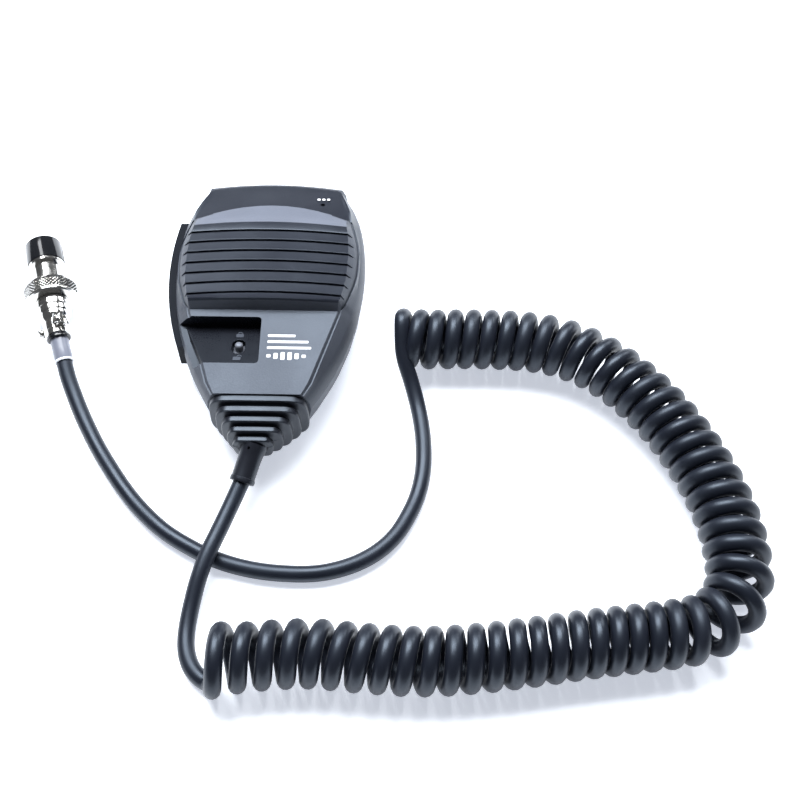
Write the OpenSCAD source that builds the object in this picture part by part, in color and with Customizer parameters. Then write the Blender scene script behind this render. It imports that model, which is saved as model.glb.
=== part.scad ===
// Hand microphone with a press-to-talk lever, a key lock, a curly cord and a round screw-on plug.
// It lies on its back, face up: +Y runs to the top of the handset and +Z comes out of its face.
// The origin is the centre of the hanger stud's flat head, which the handset rests on.

/* [Handset] */
// Width of the case at its widest
case_w = 65.6; // [60:0.2:72]
// Distance from the stud to the top end of the case
top_y = 49; // [46:0.5:56]
// Distance from the stud to the cord end of the case
end_y = 42.5; // [40:0.5:50]
// Height of the plane where the two shells part
part_z = 17; // [16:0.5:18]
// Wall thickness of both shells
wall = 2; // [1.6:0.1:2.4]
// Height of the grille's crest above the surface
crest_z = 32.8; // [31.5:0.1:35]
// Radius of the long curve of each side
side_r = 105; // [95:1:130]
// Height of the case's back above the surface
back_z = 4; // [3.5:0.1:5]

/* [Grille] */
// Number of slots across the grille
slots = 7; // [4:1:8]
// Distance from one slot to the next
slot_pitch = 4.4; // [3.8:0.1:4.6]
// Width of each slot
slot_w = 1.2; // [0.8:0.1:1.8]

/* [Talk lever] */
// Thickness of the lever's bar
lever_t = 3.6; // [3:0.1:4.2]
// Depth of the bar along the case's thickness
lever_h = 10; // [8:0.2:10.4]
// Radius of the pivot pin
pin_r = 1; // [0.8:0.1:1.3]
// Radial clearance of the lever on its pin
pin_gap = 0.05; // [0.02:0.01:0.1]

/* [Lock and keys] */
// Slope of the lock plate in degrees
lock_tilt = 12; // [8:1:14]
// Radius of the lock's sliding stud
stud_r = 1.5; // [1.2:0.1:1.7]
// Travel of the lock's stud
lock_travel = 2; // [1.5:0.1:2.2]
// Width of each of the two keys on the top end
key_w = 9; // [7:0.5:11]

/* [Fasteners] */
// Radius of the case screws
screw_r = 1.25; // [1:0.05:1.5]
// Radius of the hanger stud's head
hanger_r = 8; // [6:0.5:9]
// Radius of the hanger stud's neck
neck_r = 4; // [3:0.25:5]

/* [Cord and plug] */
// Radius of the cord
cord_r = 2.7; // [2.4:0.1:2.8]
// Outer radius of the curly cord's turns
coil_r = 10.6; // [9:0.1:10.6]
// Radius of the plug's front barrel
barrel_r = 6.6; // [6:0.1:6.8]
// Length of the plug's front barrel
barrel_l = 9.5; // [8:0.5:12]
// Radius of the plug's neck, which the coupling nut slides on
collar_r = 5.1; // [4.6:0.1:5.6]
// Outer radius of the coupling nut
nut_r = 9.5; // [9:0.1:9.5]
// Length of the coupling nut
nut_l = 6.4; // [5.5:0.1:8]

/* [Hidden] */
$fn = 48;

// Case outline
widest_y = 13;
shoulder_a = 7;
shoulder_r = top_y - 4;
top_r = 130;
half_w = case_w / 2;
side_c = [half_w - side_r, widest_y];
shoulder_c = side_c + (side_r - shoulder_r) * [cos(shoulder_a), sin(shoulder_a)];
top_c = [0, top_y - top_r];

// Heights of the face
skirt_z = 23.2;
bezel_z = 26.6;
band_z = 28;
ridge_drop = 1.2;
panel_top_z = 28;
panel_end_z = 26;
skirt_in = 1.2;
bezel_in = 1.6;

// Places along the face
band_y = top_y - 14.6;
band_edge_y = top_y - 19.2;
plateau_top_y = top_y - 24.8;
plateau_end_y = -9.3;
panel_y = -11.3;
panel_half_top = half_w - 8.2;
panel_half_end = half_w - 18;
plateau_in = 5.2;
first_slot_y = plateau_top_y - 4.6;

// Lock plate and its stud
lock_top_y = -13.5;
lock_end_y = -31.2;
lock_x1 = -0.4;
lock_z = 22.4;
plate_t = 1.3;
lock_x = -7.7;
lock_y = -23.2;
lock_slot_half = 2.2;
fit_gap = 0.1;

// Talk lever
lever_top_y = 32.6;
lever_end_y = -20.8;
lever_z = 15.2;
lever_out = 2.4;
lever_r = 102;
lever_mid_y = 14;
lever_x = -half_w - lever_out;
pivot = [-half_w + 8.8, -19];
pocket_in = 4.4;
pocket_gap = 0.6;
hub_r = 2.9;
liner_in = pocket_in + 1.6;
plunger_y = 8;
plunger_z = 17.8;
plunger_r = 1.4;
spring_y = 24;
spring_r = 2;
spring_cup = 2;
rest_gap = 0.4;

// Keys
key_x = 7.5;
key_h = 3.4;
key_gap = 0.2;
key_out = 0.7;
key_stem_r = 1;

// Board
board_z = 13.4;
board_t = 1.6;
board_top = board_z + board_t;
board_y0 = -22;
board_y1 = 29;
board_half = half_w - 7.4;
board_screw_r = 0.9;
board_holes = [[-20, 24], [20, 24], [0, -16]];

// Case screws, capsule and hanger
boss_top = [half_w - 8.8, top_y - 14.4];
boss_low = [half_w - 19.3, 9 - end_y];
screw_head_r = 2.4;
port = [half_w - 15.5, top_y - 12.8];
port_r = 0.8;
capsule_r = 3;
capsule_h = 5;
capsule_z = 19.2;

// Cord exit
cord_z = 14.5;
boot_ribs = 5;
boot_neck_r = 6.4;
sleeve_start = [-1.2, -end_y - 13.2, 14.4];
sleeve_end = [-4.2, -end_y - 22.8, 10.6];
sleeve_r = 3.75;
jacket_y0 = -24;
header_y = -11.6;
clamp_y = -31;
clamp_half = 6.6;
clamp_z = cord_z + 1.9;

// Cord routes: the handset's lead, the coil's middle line and the plug's lead
lead_points = [[-2, -58, 13.8], [-4.2, -65.3, 10.6], [-7, -73, 9.4], [-10.2, -82, 8.7],
    [-13.2, -90.4, 8.3], [-15.5, -98, 6.8], [-17.1, -105.5, 4.4], [-18, -113, 3],
    [-17.6, -120, 2.8], [-15, -126.6, 2.8], [-10.5, -131, 2.8], [-5, -132.6, 3.2]];
coil_points = [[-9.5, -127, coil_r], [3, -124.6, coil_r], [20, -123.4, coil_r],
    [38, -124.6, coil_r], [54, -125.2, coil_r], [70, -124, coil_r], [86, -121.8, coil_r],
    [102, -119.2, coil_r], [118, -117, coil_r], [129, -115.4, coil_r], [137.5, -113.4, coil_r],
    [144.5, -109.4, coil_r], [149.2, -103, coil_r], [151.2, -95, coil_r], [151, -85.5, coil_r],
    [149.6, -76, coil_r], [146.6, -65.5, coil_r], [142, -54.5, coil_r], [136, -43.5, coil_r],
    [128.5, -33, coil_r], [119.5, -23.5, coil_r], [109.5, -16.3, coil_r], [98.5, -11.7, coil_r],
    [87, -9.8, coil_r], [76, -9.3, coil_r], [66, -9.3, coil_r], [56, -9.6, coil_r],
    [46, -9.2, coil_r]];
plug_points = [[47.5, -5, 17.6], [44.8, -10, 17.8], [46.6, -17, 12.2], [49.4, -24, 6.6],
    [51.8, -32, 3.4], [53.4, -41, 2.8], [54, -49.5, 2.8], [53.7, -58, 2.8], [52, -66.5, 2.8],
    [49, -74, 2.8], [45, -81, 2.8], [39, -87, 2.8], [31, -91.5, 2.8], [21, -94.2, 2.8],
    [9.5, -94.4, 2.8], [-1, -93.1, 2.8], [-11, -90.3, 2.8], [-20, -86, 2.8], [-29, -80.4, 2.8],
    [-37.3, -73, 2.8], [-43.7, -65.7, 2.8], [-49.1, -58.4, 2.8], [-54.2, -50.9, 2.8],
    [-58.7, -43.4, 2.9], [-62.6, -36.3, 3.5], [-66, -29.3, 4.7], [-68.6, -23.4, 6.2],
    [-71, -16, 8.2], [-72.9, -10.4, 9.5]];
cord_sides = 10;
coil_sides = 16;

// Plug, measured along its axis from the middle of the resting coupling nut
plug_at = [-78.3, 7, nut_r];
plug_yaw = 17;
insert_s = 14.1;
flange_r = barrel_r - 0.2;
flange_l = 1;
shoulder_s = -nut_l / 2;
body_r = 6.1;
step_s = -6.5;
tail_s = -8.7;
saddle_s = -14.4;
tail_end_s = -18.2;
tail_r = 4.1;
nut_wall = 1.5;
nut_bore = collar_r + 0.1;
thread_r = 7.6;
knurls = 36;
saddle_roll = -45;
saddle_half = 4.6;
contact_r = 4.1;

// Meeting point of two circles, the one above and right of their line of centres
function meet(a, ra, b, rb) =
    let(d = norm(b - a), k = (d * d + ra * ra - rb * rb) / (2 * d),
        h = sqrt(ra * ra - k * k), u = (b - a) / d)
    a + k * u + h * [u[1], -u[0]];
function arc_points(c, r, a0, a1, n) =
    [for (i = [0 : n]) c + r * [cos(a0 + (a1 - a0) * i / n), sin(a0 + (a1 - a0) * i / n)]];
function angle_of(p, c) = atan2(p[1] - c[1], p[0] - c[0]);
function mirrored(points) = [for (i = [len(points) - 1 : -1 : 0]) [-points[i][0], points[i][1]]];

// Half outline of the case pulled in by d, from its cord end at y0 to the middle of its top
function half_plan(d, y0) =
    let(corner = meet(top_c, top_r - d, shoulder_c, shoulder_r - d),
        a0 = asin((y0 - widest_y) / (side_r - d)))
    concat(arc_points(side_c, side_r - d, a0, shoulder_a, 14),
        arc_points(shoulder_c, shoulder_r - d, shoulder_a + 6, angle_of(corner, shoulder_c), 4),
        arc_points(top_c, top_r - d, angle_of(corner, top_c) + 2, 89, 4));
function strip_side(d, y0, y1) = arc_points(side_c, side_r - d, asin((y0 - widest_y) / (side_r - d)),
    min(shoulder_a, asin((y1 - widest_y) / (side_r - d))), 12);
function plan(d, y0) = let(h = half_plan(d, y0)) concat(h, mirrored(h));
function side_x(d, y) = side_c[0] + sqrt(pow(side_r - d, 2) - pow(y - widest_y, 2));
function plate_z(y) = lock_z + (lock_top_y - y) * tan(lock_tilt);
function face_z(y) = panel_top_z + (panel_y - y) * (panel_end_z - panel_top_z) / (end_y + panel_y);

function unit(v) = v / norm(v);
function heading(p, i) = unit(p[min(i + 1, len(p) - 1)] - p[max(i - 1, 0)]);
function ring_of(c, d, r, n) =
    let(s = unit(cross(d, [0, 0, 1])), u = cross(s, d))
    [for (k = [0 : n - 1]) c + r * (cos(360 * k / n - 90) * s + sin(360 * k / n - 90) * u)];

// A cord swept through its points
module cord(p, r, n) {
    rings = len(p);
    points = [for (i = [0 : rings - 1]) each ring_of(p[i], heading(p, i), r, n)];
    sides = [for (i = [0 : rings - 2]) for (k = [0 : n - 1]) let(a = i * n, b = a + n,
        m = (k + 1) % n) each [[a + k, a + m, b + m], [a + k, b + m, b + k]]];
    ends = [[for (k = [n - 1 : -1 : 0]) k], [for (k = [0 : n - 1]) (rings - 1) * n + k]];
    polyhedron(points, concat(sides, ends), convexity = 8);
}

// A straight rod from p to q
module rod(p, q, r) {
    v = q - p;
    translate(p) rotate([0, acos(v[2] / norm(v)), atan2(v[1], v[0])])
        cylinder(h = norm(v), r = r);
}

module box(x0, x1, y0, y1, z0, z1) {
    translate([x0, y0, z0]) cube([x1 - x0, y1 - y0, z1 - z0]);
}

module both_sides() {
    children();
    mirror([1, 0, 0]) children();
}

// A thin slice of the case outline, pulled in by d, between two places along the case
module slice(d, z, y0, y1) {
    side = strip_side(d, y0, y1);
    translate([0, 0, z]) linear_extrude(0.02)
        polygon(y1 > top_y - 2 * wall ? plan(d, y0) : concat(side, mirrored(side)));
}

// A thin bar across the face
module face_bar(half, y, z) {
    box(-half, half, y - 0.05, y + 0.05, z - 0.02, z);
}

module crest_line(z, half) {
    for (t = [-1 : 0.25 : 1])
        box(t * half - 0.1, t * half + 0.1, band_y - (band_y - band_edge_y) * t * t,
            band_y - (band_y - band_edge_y) * t * t + 0.1, z - 0.02, z);
}

// The four blocks that the face is made of
module face_form() {
    crest_half = half_w - 6;
    hull() {
        slice(0, part_z, -end_y, top_y);
        slice(skirt_in, skirt_z, -end_y, top_y);
    }
    hull() {
        slice(skirt_in, skirt_z, panel_y, top_y);
        slice(bezel_in, bezel_z, panel_y + 1, band_edge_y);
        crest_line(band_z, crest_half);
    }
    hull() {
        slice(bezel_in, bezel_z, panel_y, band_edge_y);
        crest_line(band_z, crest_half);
        slice(plateau_in, crest_z - ridge_drop, plateau_end_y, plateau_top_y);
        box(-12, 12, plateau_end_y, plateau_top_y, crest_z - 0.02, crest_z);
    }
    panel_block(0);
}

// The lower block, under the flat panel
module panel_block(d) {
    hull() {
        slice(d, part_z, d - end_y, panel_y);
        face_bar(panel_half_top - d, panel_y, panel_top_z - d);
        face_bar(panel_half_end - d, d - end_y + 0.1, panel_end_z - d);
    }
}

module face_cavity() {
    end = wall - end_y;
    top_in = skirt_in + wall;
    hull() {
        slice(wall, part_z - 0.1, end, top_y);
        slice(top_in, skirt_z - wall, end, top_y);
    }
    hull() {
        slice(top_in, skirt_z - wall, panel_y, top_y);
        slice(plateau_in + wall, crest_z - ridge_drop - wall, plateau_end_y + wall,
            plateau_top_y - wall);
    }
    hull() {
        slice(wall, part_z - 0.1, end, panel_y + wall);
        face_bar(panel_half_top - wall, panel_y + wall, panel_top_z - wall);
        face_bar(panel_half_end - wall, end + 0.1, panel_end_z - wall);
    }
}

// Room for the talk lever, cut into the left side of both shells
module lever_pocket() {
    difference() {
        box(-half_w - 5, 0, lever_end_y - pocket_gap, lever_top_y + 2 * pocket_gap,
            lever_z - lever_h / 2 - pocket_gap, lever_z + lever_h / 2 + pocket_gap);
        linear_extrude(40) polygon(plan(pocket_in, -end_y));
    }
    translate([pivot[0], pivot[1], lever_z - lever_h / 2 - pocket_gap])
        cylinder(h = lever_h + 2 * pocket_gap, r = hub_r + pocket_gap);
}

module lever_liner(z0, z1) {
    y0 = lever_end_y - 3;
    y1 = lever_top_y + 3;
    inner = [for (y = [y0, pivot[1], 0, lever_mid_y, plunger_y + 16, y1])
        [-side_x(liner_in, y), y]];
    translate([0, 0, z0]) linear_extrude(z1 - z0)
        polygon(concat([[-half_w - 1, y1], [-half_w - 1, y0]], inner));
    translate([pivot[0], pivot[1], z0]) cylinder(h = z1 - z0, r = hub_r + 2.2);
}

module pin_bore() {
    translate([pivot[0], pivot[1], lever_z - lever_h / 2 - 2.4])
        cylinder(h = lever_h + 4.8, r = pin_r);
}

module plunger_bore() {
    rod([-half_w, plunger_y, plunger_z], [-half_w + 12, plunger_y, plunger_z],
        plunger_r + rest_gap);
}

module lock_local() {
    translate([lock_x, lock_y, plate_z(lock_y)]) rotate([-lock_tilt, 0, 0]) children();
}

module screw_places() {
    both_sides() {
        translate(boss_top) children();
        translate(boss_low) children();
    }
}

module key_window(x) {
    box(x - key_w / 2 - key_gap, x + key_w / 2 + key_gap, top_y - 10, top_y + 2,
        part_z - 1, part_z + key_h + 2 * key_gap);
}

module boot_bore() {
    rod([0, -end_y - 1, cord_z], [0, 5 - end_y, cord_z], boot_neck_r);
}

module front_shell() {
    color("#34373d") difference() {
        face_form();
        difference() {
            face_cavity();
            lever_liner(part_z, lever_z + lever_h / 2 + 2.2);
            screw_places() translate([0, 0, part_z]) cylinder(h = 12, r = 2.8);
            translate([port[0], port[1], capsule_z + capsule_h + 0.2])
                cylinder(h = 4, r = capsule_r + 1.4);
        }
        for (i = [0 : slots - 1])
            box(-half_w + bezel_in + 2, half_w - bezel_in - 2, first_slot_y - i * slot_pitch
                - slot_w / 2, first_slot_y - i * slot_pitch + slot_w / 2, 29, crest_z + 1);
        lock_opening();
        lever_pocket();
        pin_bore();
        plunger_bore();
        screw_places() translate([0, 0, part_z - 1]) cylinder(h = 7.4, r = screw_r);
        translate([port[0], port[1], capsule_z]) cylinder(h = 12, r = port_r);
        translate([port[0], port[1], part_z - 1])
            cylinder(h = capsule_z + capsule_h + 1.4 - part_z, r = capsule_r + 0.8);
        key_window(key_x);
        key_window(-key_x);
        boot_bore();
    }
}

// Opening in the face over the lock plate, open to the left
module lock_opening() {
    plate_prism(half_w + 1, lock_x1, lock_end_y, lock_top_y, plate_t, 12);
    box(lock_x - 5, lock_x + 5, lock_end_y + 1, lock_top_y - 1, part_z - 1, 30);
}

// A slab along the lock plate's slope, from below its face to above it
module plate_prism(reach, x1, y0, y1, below, above) {
    translate([-reach, 0, 0]) rotate([90, 0, 90]) linear_extrude(reach + x1)
        polygon([[y0, plate_z(y0) - below], [y0, plate_z(y0) + above], [y1, plate_z(y1) + above],
            [y1, plate_z(y1) - below]]);
}

module dust_screen() {
    side = strip_side(plateau_in + wall + 1.6, plateau_end_y + wall + 0.6,
        plateau_top_y - wall - 0.6);
    color("#1b1c1f") translate([0, 0, crest_z - ridge_drop - wall - 1.2]) linear_extrude(0.6)
        polygon(concat(side, mirrored(side)));
}

module lock_plate() {
    color("#26282d") difference() {
        intersection() {
            plate_prism(half_w, lock_x1 - fit_gap, lock_end_y + fit_gap, lock_top_y - fit_gap,
                plate_t - 0.02, 0);
            panel_block(0.1);
        }
        for (s = [-1, 1])
            translate([lock_x, lock_y + s * lock_travel / 2, 15]) cylinder(h = 15, r = lock_slot_half);
        box(lock_x - lock_slot_half, lock_x + lock_slot_half, lock_y - lock_travel / 2,
            lock_y + lock_travel / 2, 15, 30);
    }
}

module lock_knob() {
    color("#141518") lock_local() translate([0, lock_travel / 2, 0]) {
        translate([0, 0, -plate_t - 1.6]) cylinder(h = plate_t + 1.6, r = stud_r);
        sphere(r = stud_r);
        box(-2.6, 2.6, -2, 2, -plate_t - 2.6, -plate_t - 1.2);
    }
}

module lock_switch() {
    color("#55585c") lock_local() difference() {
        box(-3.6, 3.6, -5, 5, -plate_t - 4.6, -plate_t - 0.3);
        box(-2.8, 2.8, -2 - lock_travel / 2 - 0.4, 2 + lock_travel / 2 + 0.4, -plate_t - 2.9,
            -plate_t - 0.9);
        box(-stud_r - 0.3, stud_r + 0.3, -stud_r - lock_travel / 2 - 0.4,
            stud_r + lock_travel / 2 + 0.4, -plate_t - 1.5, 1);
    }
}

function lever_arc(r) =
    let(c = [lever_x + lever_r, lever_mid_y],
        a0 = 180 - asin((lever_top_y - lever_mid_y) / r),
        a1 = 180 - asin((lever_end_y - lever_mid_y) / r))
    arc_points(c, r, a0, a1, 16);

module talk_lever() {
    color("#25272b") difference() {
        union() {
            translate([0, 0, lever_z - lever_h / 2]) linear_extrude(lever_h) {
                outer = lever_arc(lever_r);
                inner = lever_arc(lever_r - lever_t);
                polygon(concat(outer, [for (i = [16 : -1 : 0]) inner[i]]));
            }
            translate([pivot[0], pivot[1], lever_z - lever_h / 2]) cylinder(h = lever_h, r = hub_r);
            box(pivot[0] - 5, pivot[0], pivot[1] - 1.6, pivot[1] + 1.6, lever_z - lever_h / 2,
                lever_z + lever_h / 2);
        }
        translate([pivot[0], pivot[1], 0]) cylinder(h = 40, r = pin_r + pin_gap);
        rod([lever_x + lever_t - spring_cup, spring_y, lever_z], [-20, spring_y, lever_z],
            spring_r + 0.7);
    }
}

module lever_pin() {
    color("silver") translate([pivot[0], pivot[1], lever_z - lever_h / 2 - 2.2])
        cylinder(h = lever_h + 3.8, r = pin_r);
}

module lever_spring() {
    x0 = lever_x + lever_t - spring_cup + 0.3;
    x1 = -side_x(pocket_in, spring_y) - 0.1;
    turns = 4;
    steps = turns * 10;
    points = [for (i = [0 : steps]) [x0 + 0.3 + (x1 - x0 - 0.6) * i / steps,
        spring_y + spring_r * cos(36 * i), lever_z + spring_r * sin(36 * i)]];
    color("silver") cord(points, 0.25, 6);
}

module talk_switch() {
    x0 = -half_w + liner_in + 0.8;
    color("#303338") difference() {
        box(x0, x0 + 6, plunger_y - 6.5, plunger_y + 6.5, board_top, board_top + 5.6);
        rod([x0 - 1, plunger_y, plunger_z], [x0 + 4, plunger_y, plunger_z], plunger_r + 0.1);
    }
}

module talk_plunger() {
    tip = lever_x + lever_t + 0.2 + rest_gap;
    color("#b8332b") rod([tip, plunger_y, plunger_z],
        [-half_w + liner_in + 2.4, plunger_y, plunger_z], plunger_r);
}

module key(x) {
    r = top_r + key_out;
    front = arc_points(top_c, r, acos((x + key_w / 2) / r), acos((x - key_w / 2) / r), 4);
    translate([0, 0, part_z + key_gap]) linear_extrude(key_h)
        polygon(concat([[x - key_w / 2, top_y - 6], [x + key_w / 2, top_y - 6]], front));
    box(x - key_w / 2 - 1, x + key_w / 2 + 1, top_y - 6, top_y - 4.4, part_z + key_gap,
        part_z + key_gap + key_h + 0.6);
    rod([x, top_y - 9.5, part_z + 2], [x, top_y - 5, part_z + 2], key_stem_r);
}

module up_key() {
    color("#1d1f22") key(key_x);
}

module down_key() {
    color("#1d1f22") key(-key_x);
}

module key_switches() {
    color("#9a9da1") for (x = [-key_x, key_x]) difference() {
        box(x - 3, x + 3, top_y - 12.5, top_y - 8, board_top, board_top + 6);
        rod([x, top_y - 11, part_z + 2], [x, top_y - 7, part_z + 2], key_stem_r + 0.15);
    }
}

module main_board() {
    color("#2f6b3c") translate([0, 0, board_z]) difference() {
        union() {
            linear_extrude(board_t) polygon([[-board_half + 8, board_y0], [board_half - 6, board_y0],
                [board_half, board_y0 + 14], [board_half, board_y1], [1.6 - board_half, board_y1],
                [1.6 - board_half, -6], [-board_half + 8, -10]]);
            translate([-12, board_y1 - 1, 0]) cube([24, top_y - 8 - board_y1 + 1, board_t]);
        }
        for (p = board_holes) translate([p[0], p[1], -1]) cylinder(h = 4, r = board_screw_r);
    }
}

module board_screws() {
    color("silver") for (p = board_holes) translate([p[0], p[1], 0]) {
        translate([0, 0, board_top]) cylinder(h = 1.2, r = 1.8);
        translate([0, 0, board_top - 5]) cylinder(h = 5.1, r = board_screw_r);
    }
}

module board_parts() {
    color("#202225") {
        box(4, 12, 2, 9, board_top, board_top + 1.8);
        box(-6, -1, 12, 16, board_top, board_top + 1.4);
        translate([13, 16, board_top]) cylinder(h = 5.4, r = 2.5);
        translate([-12, 4, board_top]) cylinder(h = 4.6, r = 2);
        for (i = [0 : 4]) box(2 + i * 3, 4 + i * 3, -8, -6.8, board_top, board_top + 0.6);
    }
}

module wire_header() {
    color("#e8e4d8") difference() {
        box(-9, 9, header_y - 2.1, header_y + 2.1, board_top, board_top + 4.4);
        for (i = [0 : 5]) translate([i * 2.8 - 7, header_y, board_top + 2])
            cylinder(h = 3, r = 0.8);
    }
}

module mic_capsule() {
    color("silver") translate([port[0], port[1], capsule_z]) cylinder(h = capsule_h, r = capsule_r);
}

module capsule_holder() {
    color("#222222") translate([port[0], port[1], capsule_z - 0.8]) difference() {
        cylinder(h = capsule_h + 0.7, r = capsule_r + 0.8);
        translate([0, 0, 0.8]) cylinder(h = capsule_h, r = capsule_r);
    }
}

module rear_shell() {
    color("#33363b") difference() {
        hull() {
            slice(0, part_z - 0.02, -end_y, top_y);
            slice(0.9, back_z + 6, -end_y, top_y);
            slice(3.2, back_z + 1.7, -end_y, top_y);
            slice(6, back_z, -end_y, top_y);
        }
        difference() {
            hull() {
                slice(wall, part_z, wall - end_y, top_y);
                slice(0.9 + wall, back_z + 6, wall - end_y, top_y);
                slice(6 + wall, back_z + wall, wall - end_y, top_y);
            }
            lever_liner(lever_z - lever_h / 2 - 2.2, part_z + 1);
            screw_places() cylinder(h = part_z + 1, r = 3.4);
            for (p = board_holes) translate(p) cylinder(h = board_z, r = 2.4);
            cylinder(h = 9, r = 5);
            both_sides() translate([clamp_half, clamp_y, 0]) cylinder(h = clamp_z, r = 2.3);
        }
        lever_pocket();
        pin_bore();
        plunger_bore();
        screw_places() {
            cylinder(h = 30, r = screw_r);
            cylinder(h = back_z + 4, r = screw_head_r + 0.2);
        }
        cylinder(h = 20, r = 1.6);
        for (p = board_holes) translate([p[0], p[1], board_top - 5])
            cylinder(h = 8, r = board_screw_r);
        both_sides() translate([clamp_half, clamp_y, clamp_z - 5]) cylinder(h = 6, r = 0.9);
        boot_bore();
    }
}

module case_screws() {
    color("#3a3a3c") screw_places() {
        translate([0, 0, back_z + 2]) cylinder(h = 2, r = screw_head_r);
        translate([0, 0, back_z + 3.9]) cylinder(h = 18.4 - back_z, r = screw_r);
    }
}

module hanger_stud() {
    color("#c9c9c7") difference() {
        rotate_extrude() polygon([[0, 0], [hanger_r - 0.6, 0], [hanger_r, 0.6], [hanger_r, 1],
            [hanger_r - 0.6, 1.6], [neck_r, 1.9], [neck_r, back_z], [0, back_z]]);
        translate([0, 0, 1.6]) cylinder(h = 10, r = 1.6);
    }
}

module stud_screw() {
    color("silver") difference() {
        union() {
            translate([0, 0, 1.8]) cylinder(h = 8, r = 1.6);
            translate([0, 0, 9]) cylinder(h = 1.8, r = 3);
        }
        translate([0, 0, 9.8]) cylinder(h = 2, r = 1.3, $fn = 6);
    }
}

module cord_clamp() {
    color("silver") difference() {
        box(-clamp_half - 2.3, clamp_half + 2.3, clamp_y - 2.2, clamp_y + 2.2, clamp_z,
            clamp_z + 2);
        rod([0, clamp_y - 5, cord_z], [0, clamp_y + 5, cord_z], cord_r);
        both_sides() translate([clamp_half, clamp_y, 0]) cylinder(h = 30, r = 0.9);
    }
}

module clamp_screws() {
    color("silver") both_sides() translate([clamp_half, clamp_y, 0]) {
        translate([0, 0, clamp_z + 2]) cylinder(h = 1.2, r = 1.8);
        translate([0, 0, clamp_z - 4]) cylinder(h = 6.1, r = 0.9);
    }
}

module inner_cord() {
    color("#202430") rod([0, jacket_y0, cord_z], [0, -end_y - 12.6, cord_z], cord_r);
}

// Conductors from the end of the jacket up to the header
module inner_wires() {
    tones = ["red", "white", "yellow", "green", "blue", "black"];
    for (i = [0 : 5]) {
        x = i * 2.8 - 7;
        a = [x * 0.22, jacket_y0 - 0.2, cord_z + 0.6 * (i % 2)];
        color(tones[i]) cord([a, [x * 0.4, -22.2, 16.4], [x * 0.7, -18.6, 17.6],
            [x, -15.4, 18.6], [x, header_y - 2.4, 20.1], [x, header_y - 0.4, 20],
            [x, header_y, board_top + 2.2]], 0.6, 6);
    }
}

function rib_half(k) = 16.2 - 2.38 * k;
function rib_start(k) = -end_y - 0.1 - 3.3 * k + 0.09 * k * k;
function rib_x(k) = -0.075 * k * k;

// One rounded ring of the boot, g smaller all round
module boot_ring(k, g, y0, y1) {
    b = rib_half(k) - g;
    t = 25.5 - 1.1 * k - 0.1 * k * k - g;
    u = 4.5 + 0.8 * k + 0.1 * k * k + g;
    m = 15.5;
    half = [[b * 0.62, u], [b * 0.86, u + 1.6], [b, m - 2.5], [b, m + 1.5], [b * 0.9, t - 2],
        [b * 0.72, t]];
    translate([rib_x(k), y1, 0]) rotate([90, 0, 0]) linear_extrude(y1 - y0)
        polygon(concat(half, mirrored(half)));
}

module cord_boot() {
    last = boot_ribs - 1;
    sleeve_axis = unit(sleeve_end - sleeve_start);
    color("#1c1d20") difference() {
        union() {
            for (k = [0 : last])
                boot_ring(k, 0, rib_start(k) - 2.2 + 0.1 * k, rib_start(k));
            for (k = [1 : last])
                boot_ring(k, 1.4, rib_start(k) - 0.1, rib_start(k - 1) - 1);
            rod([0, -end_y - 1, cord_z], [0, wall - end_y, cord_z], boot_neck_r - 0.1);
            rod([0, wall - end_y + 0.1, cord_z], [0, wall + 2 - end_y, cord_z], 8.2);
            rod([0, -end_y - 1, cord_z], [0, wall + 2 - end_y, cord_z], boot_neck_r - 0.1);
            rod(sleeve_start, sleeve_end, sleeve_r);
            rod(sleeve_end - 0.4 * sleeve_axis, sleeve_end + 1.2 * sleeve_axis, sleeve_r + 0.3);
            translate(sleeve_start) sphere(r = sleeve_r);
        }
        rod([0, -end_y - 12.6, cord_z], [0, 0, cord_z], cord_r);
        rod(sleeve_start, sleeve_end + 4 * sleeve_axis, cord_r);
        translate(sleeve_start) sphere(r = cord_r);
    }
}

module lead_cord() {
    color("#1d2129") cord(lead_points, cord_r, cord_sides);
}

module curly_cord() {
    color("#1d2129") cord(coil_points, coil_r, coil_sides);
}

module plug_cord() {
    color("#1d2129") cord(plug_points, cord_r, cord_sides);
}

// Places a child on the plug's axis, with +Z running out of its front
module on_plug(s) {
    translate(plug_at) rotate([0, 0, plug_yaw]) rotate([-90, 0, 0]) translate([0, 0, s])
        children();
}

module plug_sleeve() {
    a = plug_points[len(plug_points) - 1];
    b = plug_points[len(plug_points) - 2];
    u = unit(b - a);
    color("#5a6070") difference() {
        rod(a + 0.6 * u, a + 8.6 * u, cord_r + 0.4);
        rod(a - u, a + 12 * u, cord_r);
    }
}

module sleeve_band() {
    a = plug_points[len(plug_points) - 1];
    b = plug_points[len(plug_points) - 2];
    u = unit(b - a);
    color("white") difference() {
        rod(a + 8.7 * u, a + 9.5 * u, cord_r + 0.5);
        rod(a - u, a + 12 * u, cord_r);
    }
}

module contact_places() {
    for (i = [0 : 6]) rotate([0, 0, i * 360 / 7]) translate([contact_r, 0, 0]) children();
    children();
}

module plug_insert() {
    color("#16171b") on_plug(insert_s) difference() {
        union() {
            cylinder(h = barrel_l, r = barrel_r);
            translate([0, 0, -6]) cylinder(h = 6.1, r = collar_r - 1);
        }
        contact_places() translate([0, 0, barrel_l - 6]) cylinder(h = 7, r = 0.75);
        translate([barrel_r, 0, barrel_l / 2]) cube([1.2, 2, barrel_l + 2], center = true);
    }
}

module plug_contacts() {
    color("#d8b65a") on_plug(insert_s + barrel_l - 6) contact_places() difference() {
        cylinder(h = 5.6, r = 0.75);
        translate([0, 0, 1]) cylinder(h = 6, r = 0.5);
    }
}

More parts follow.
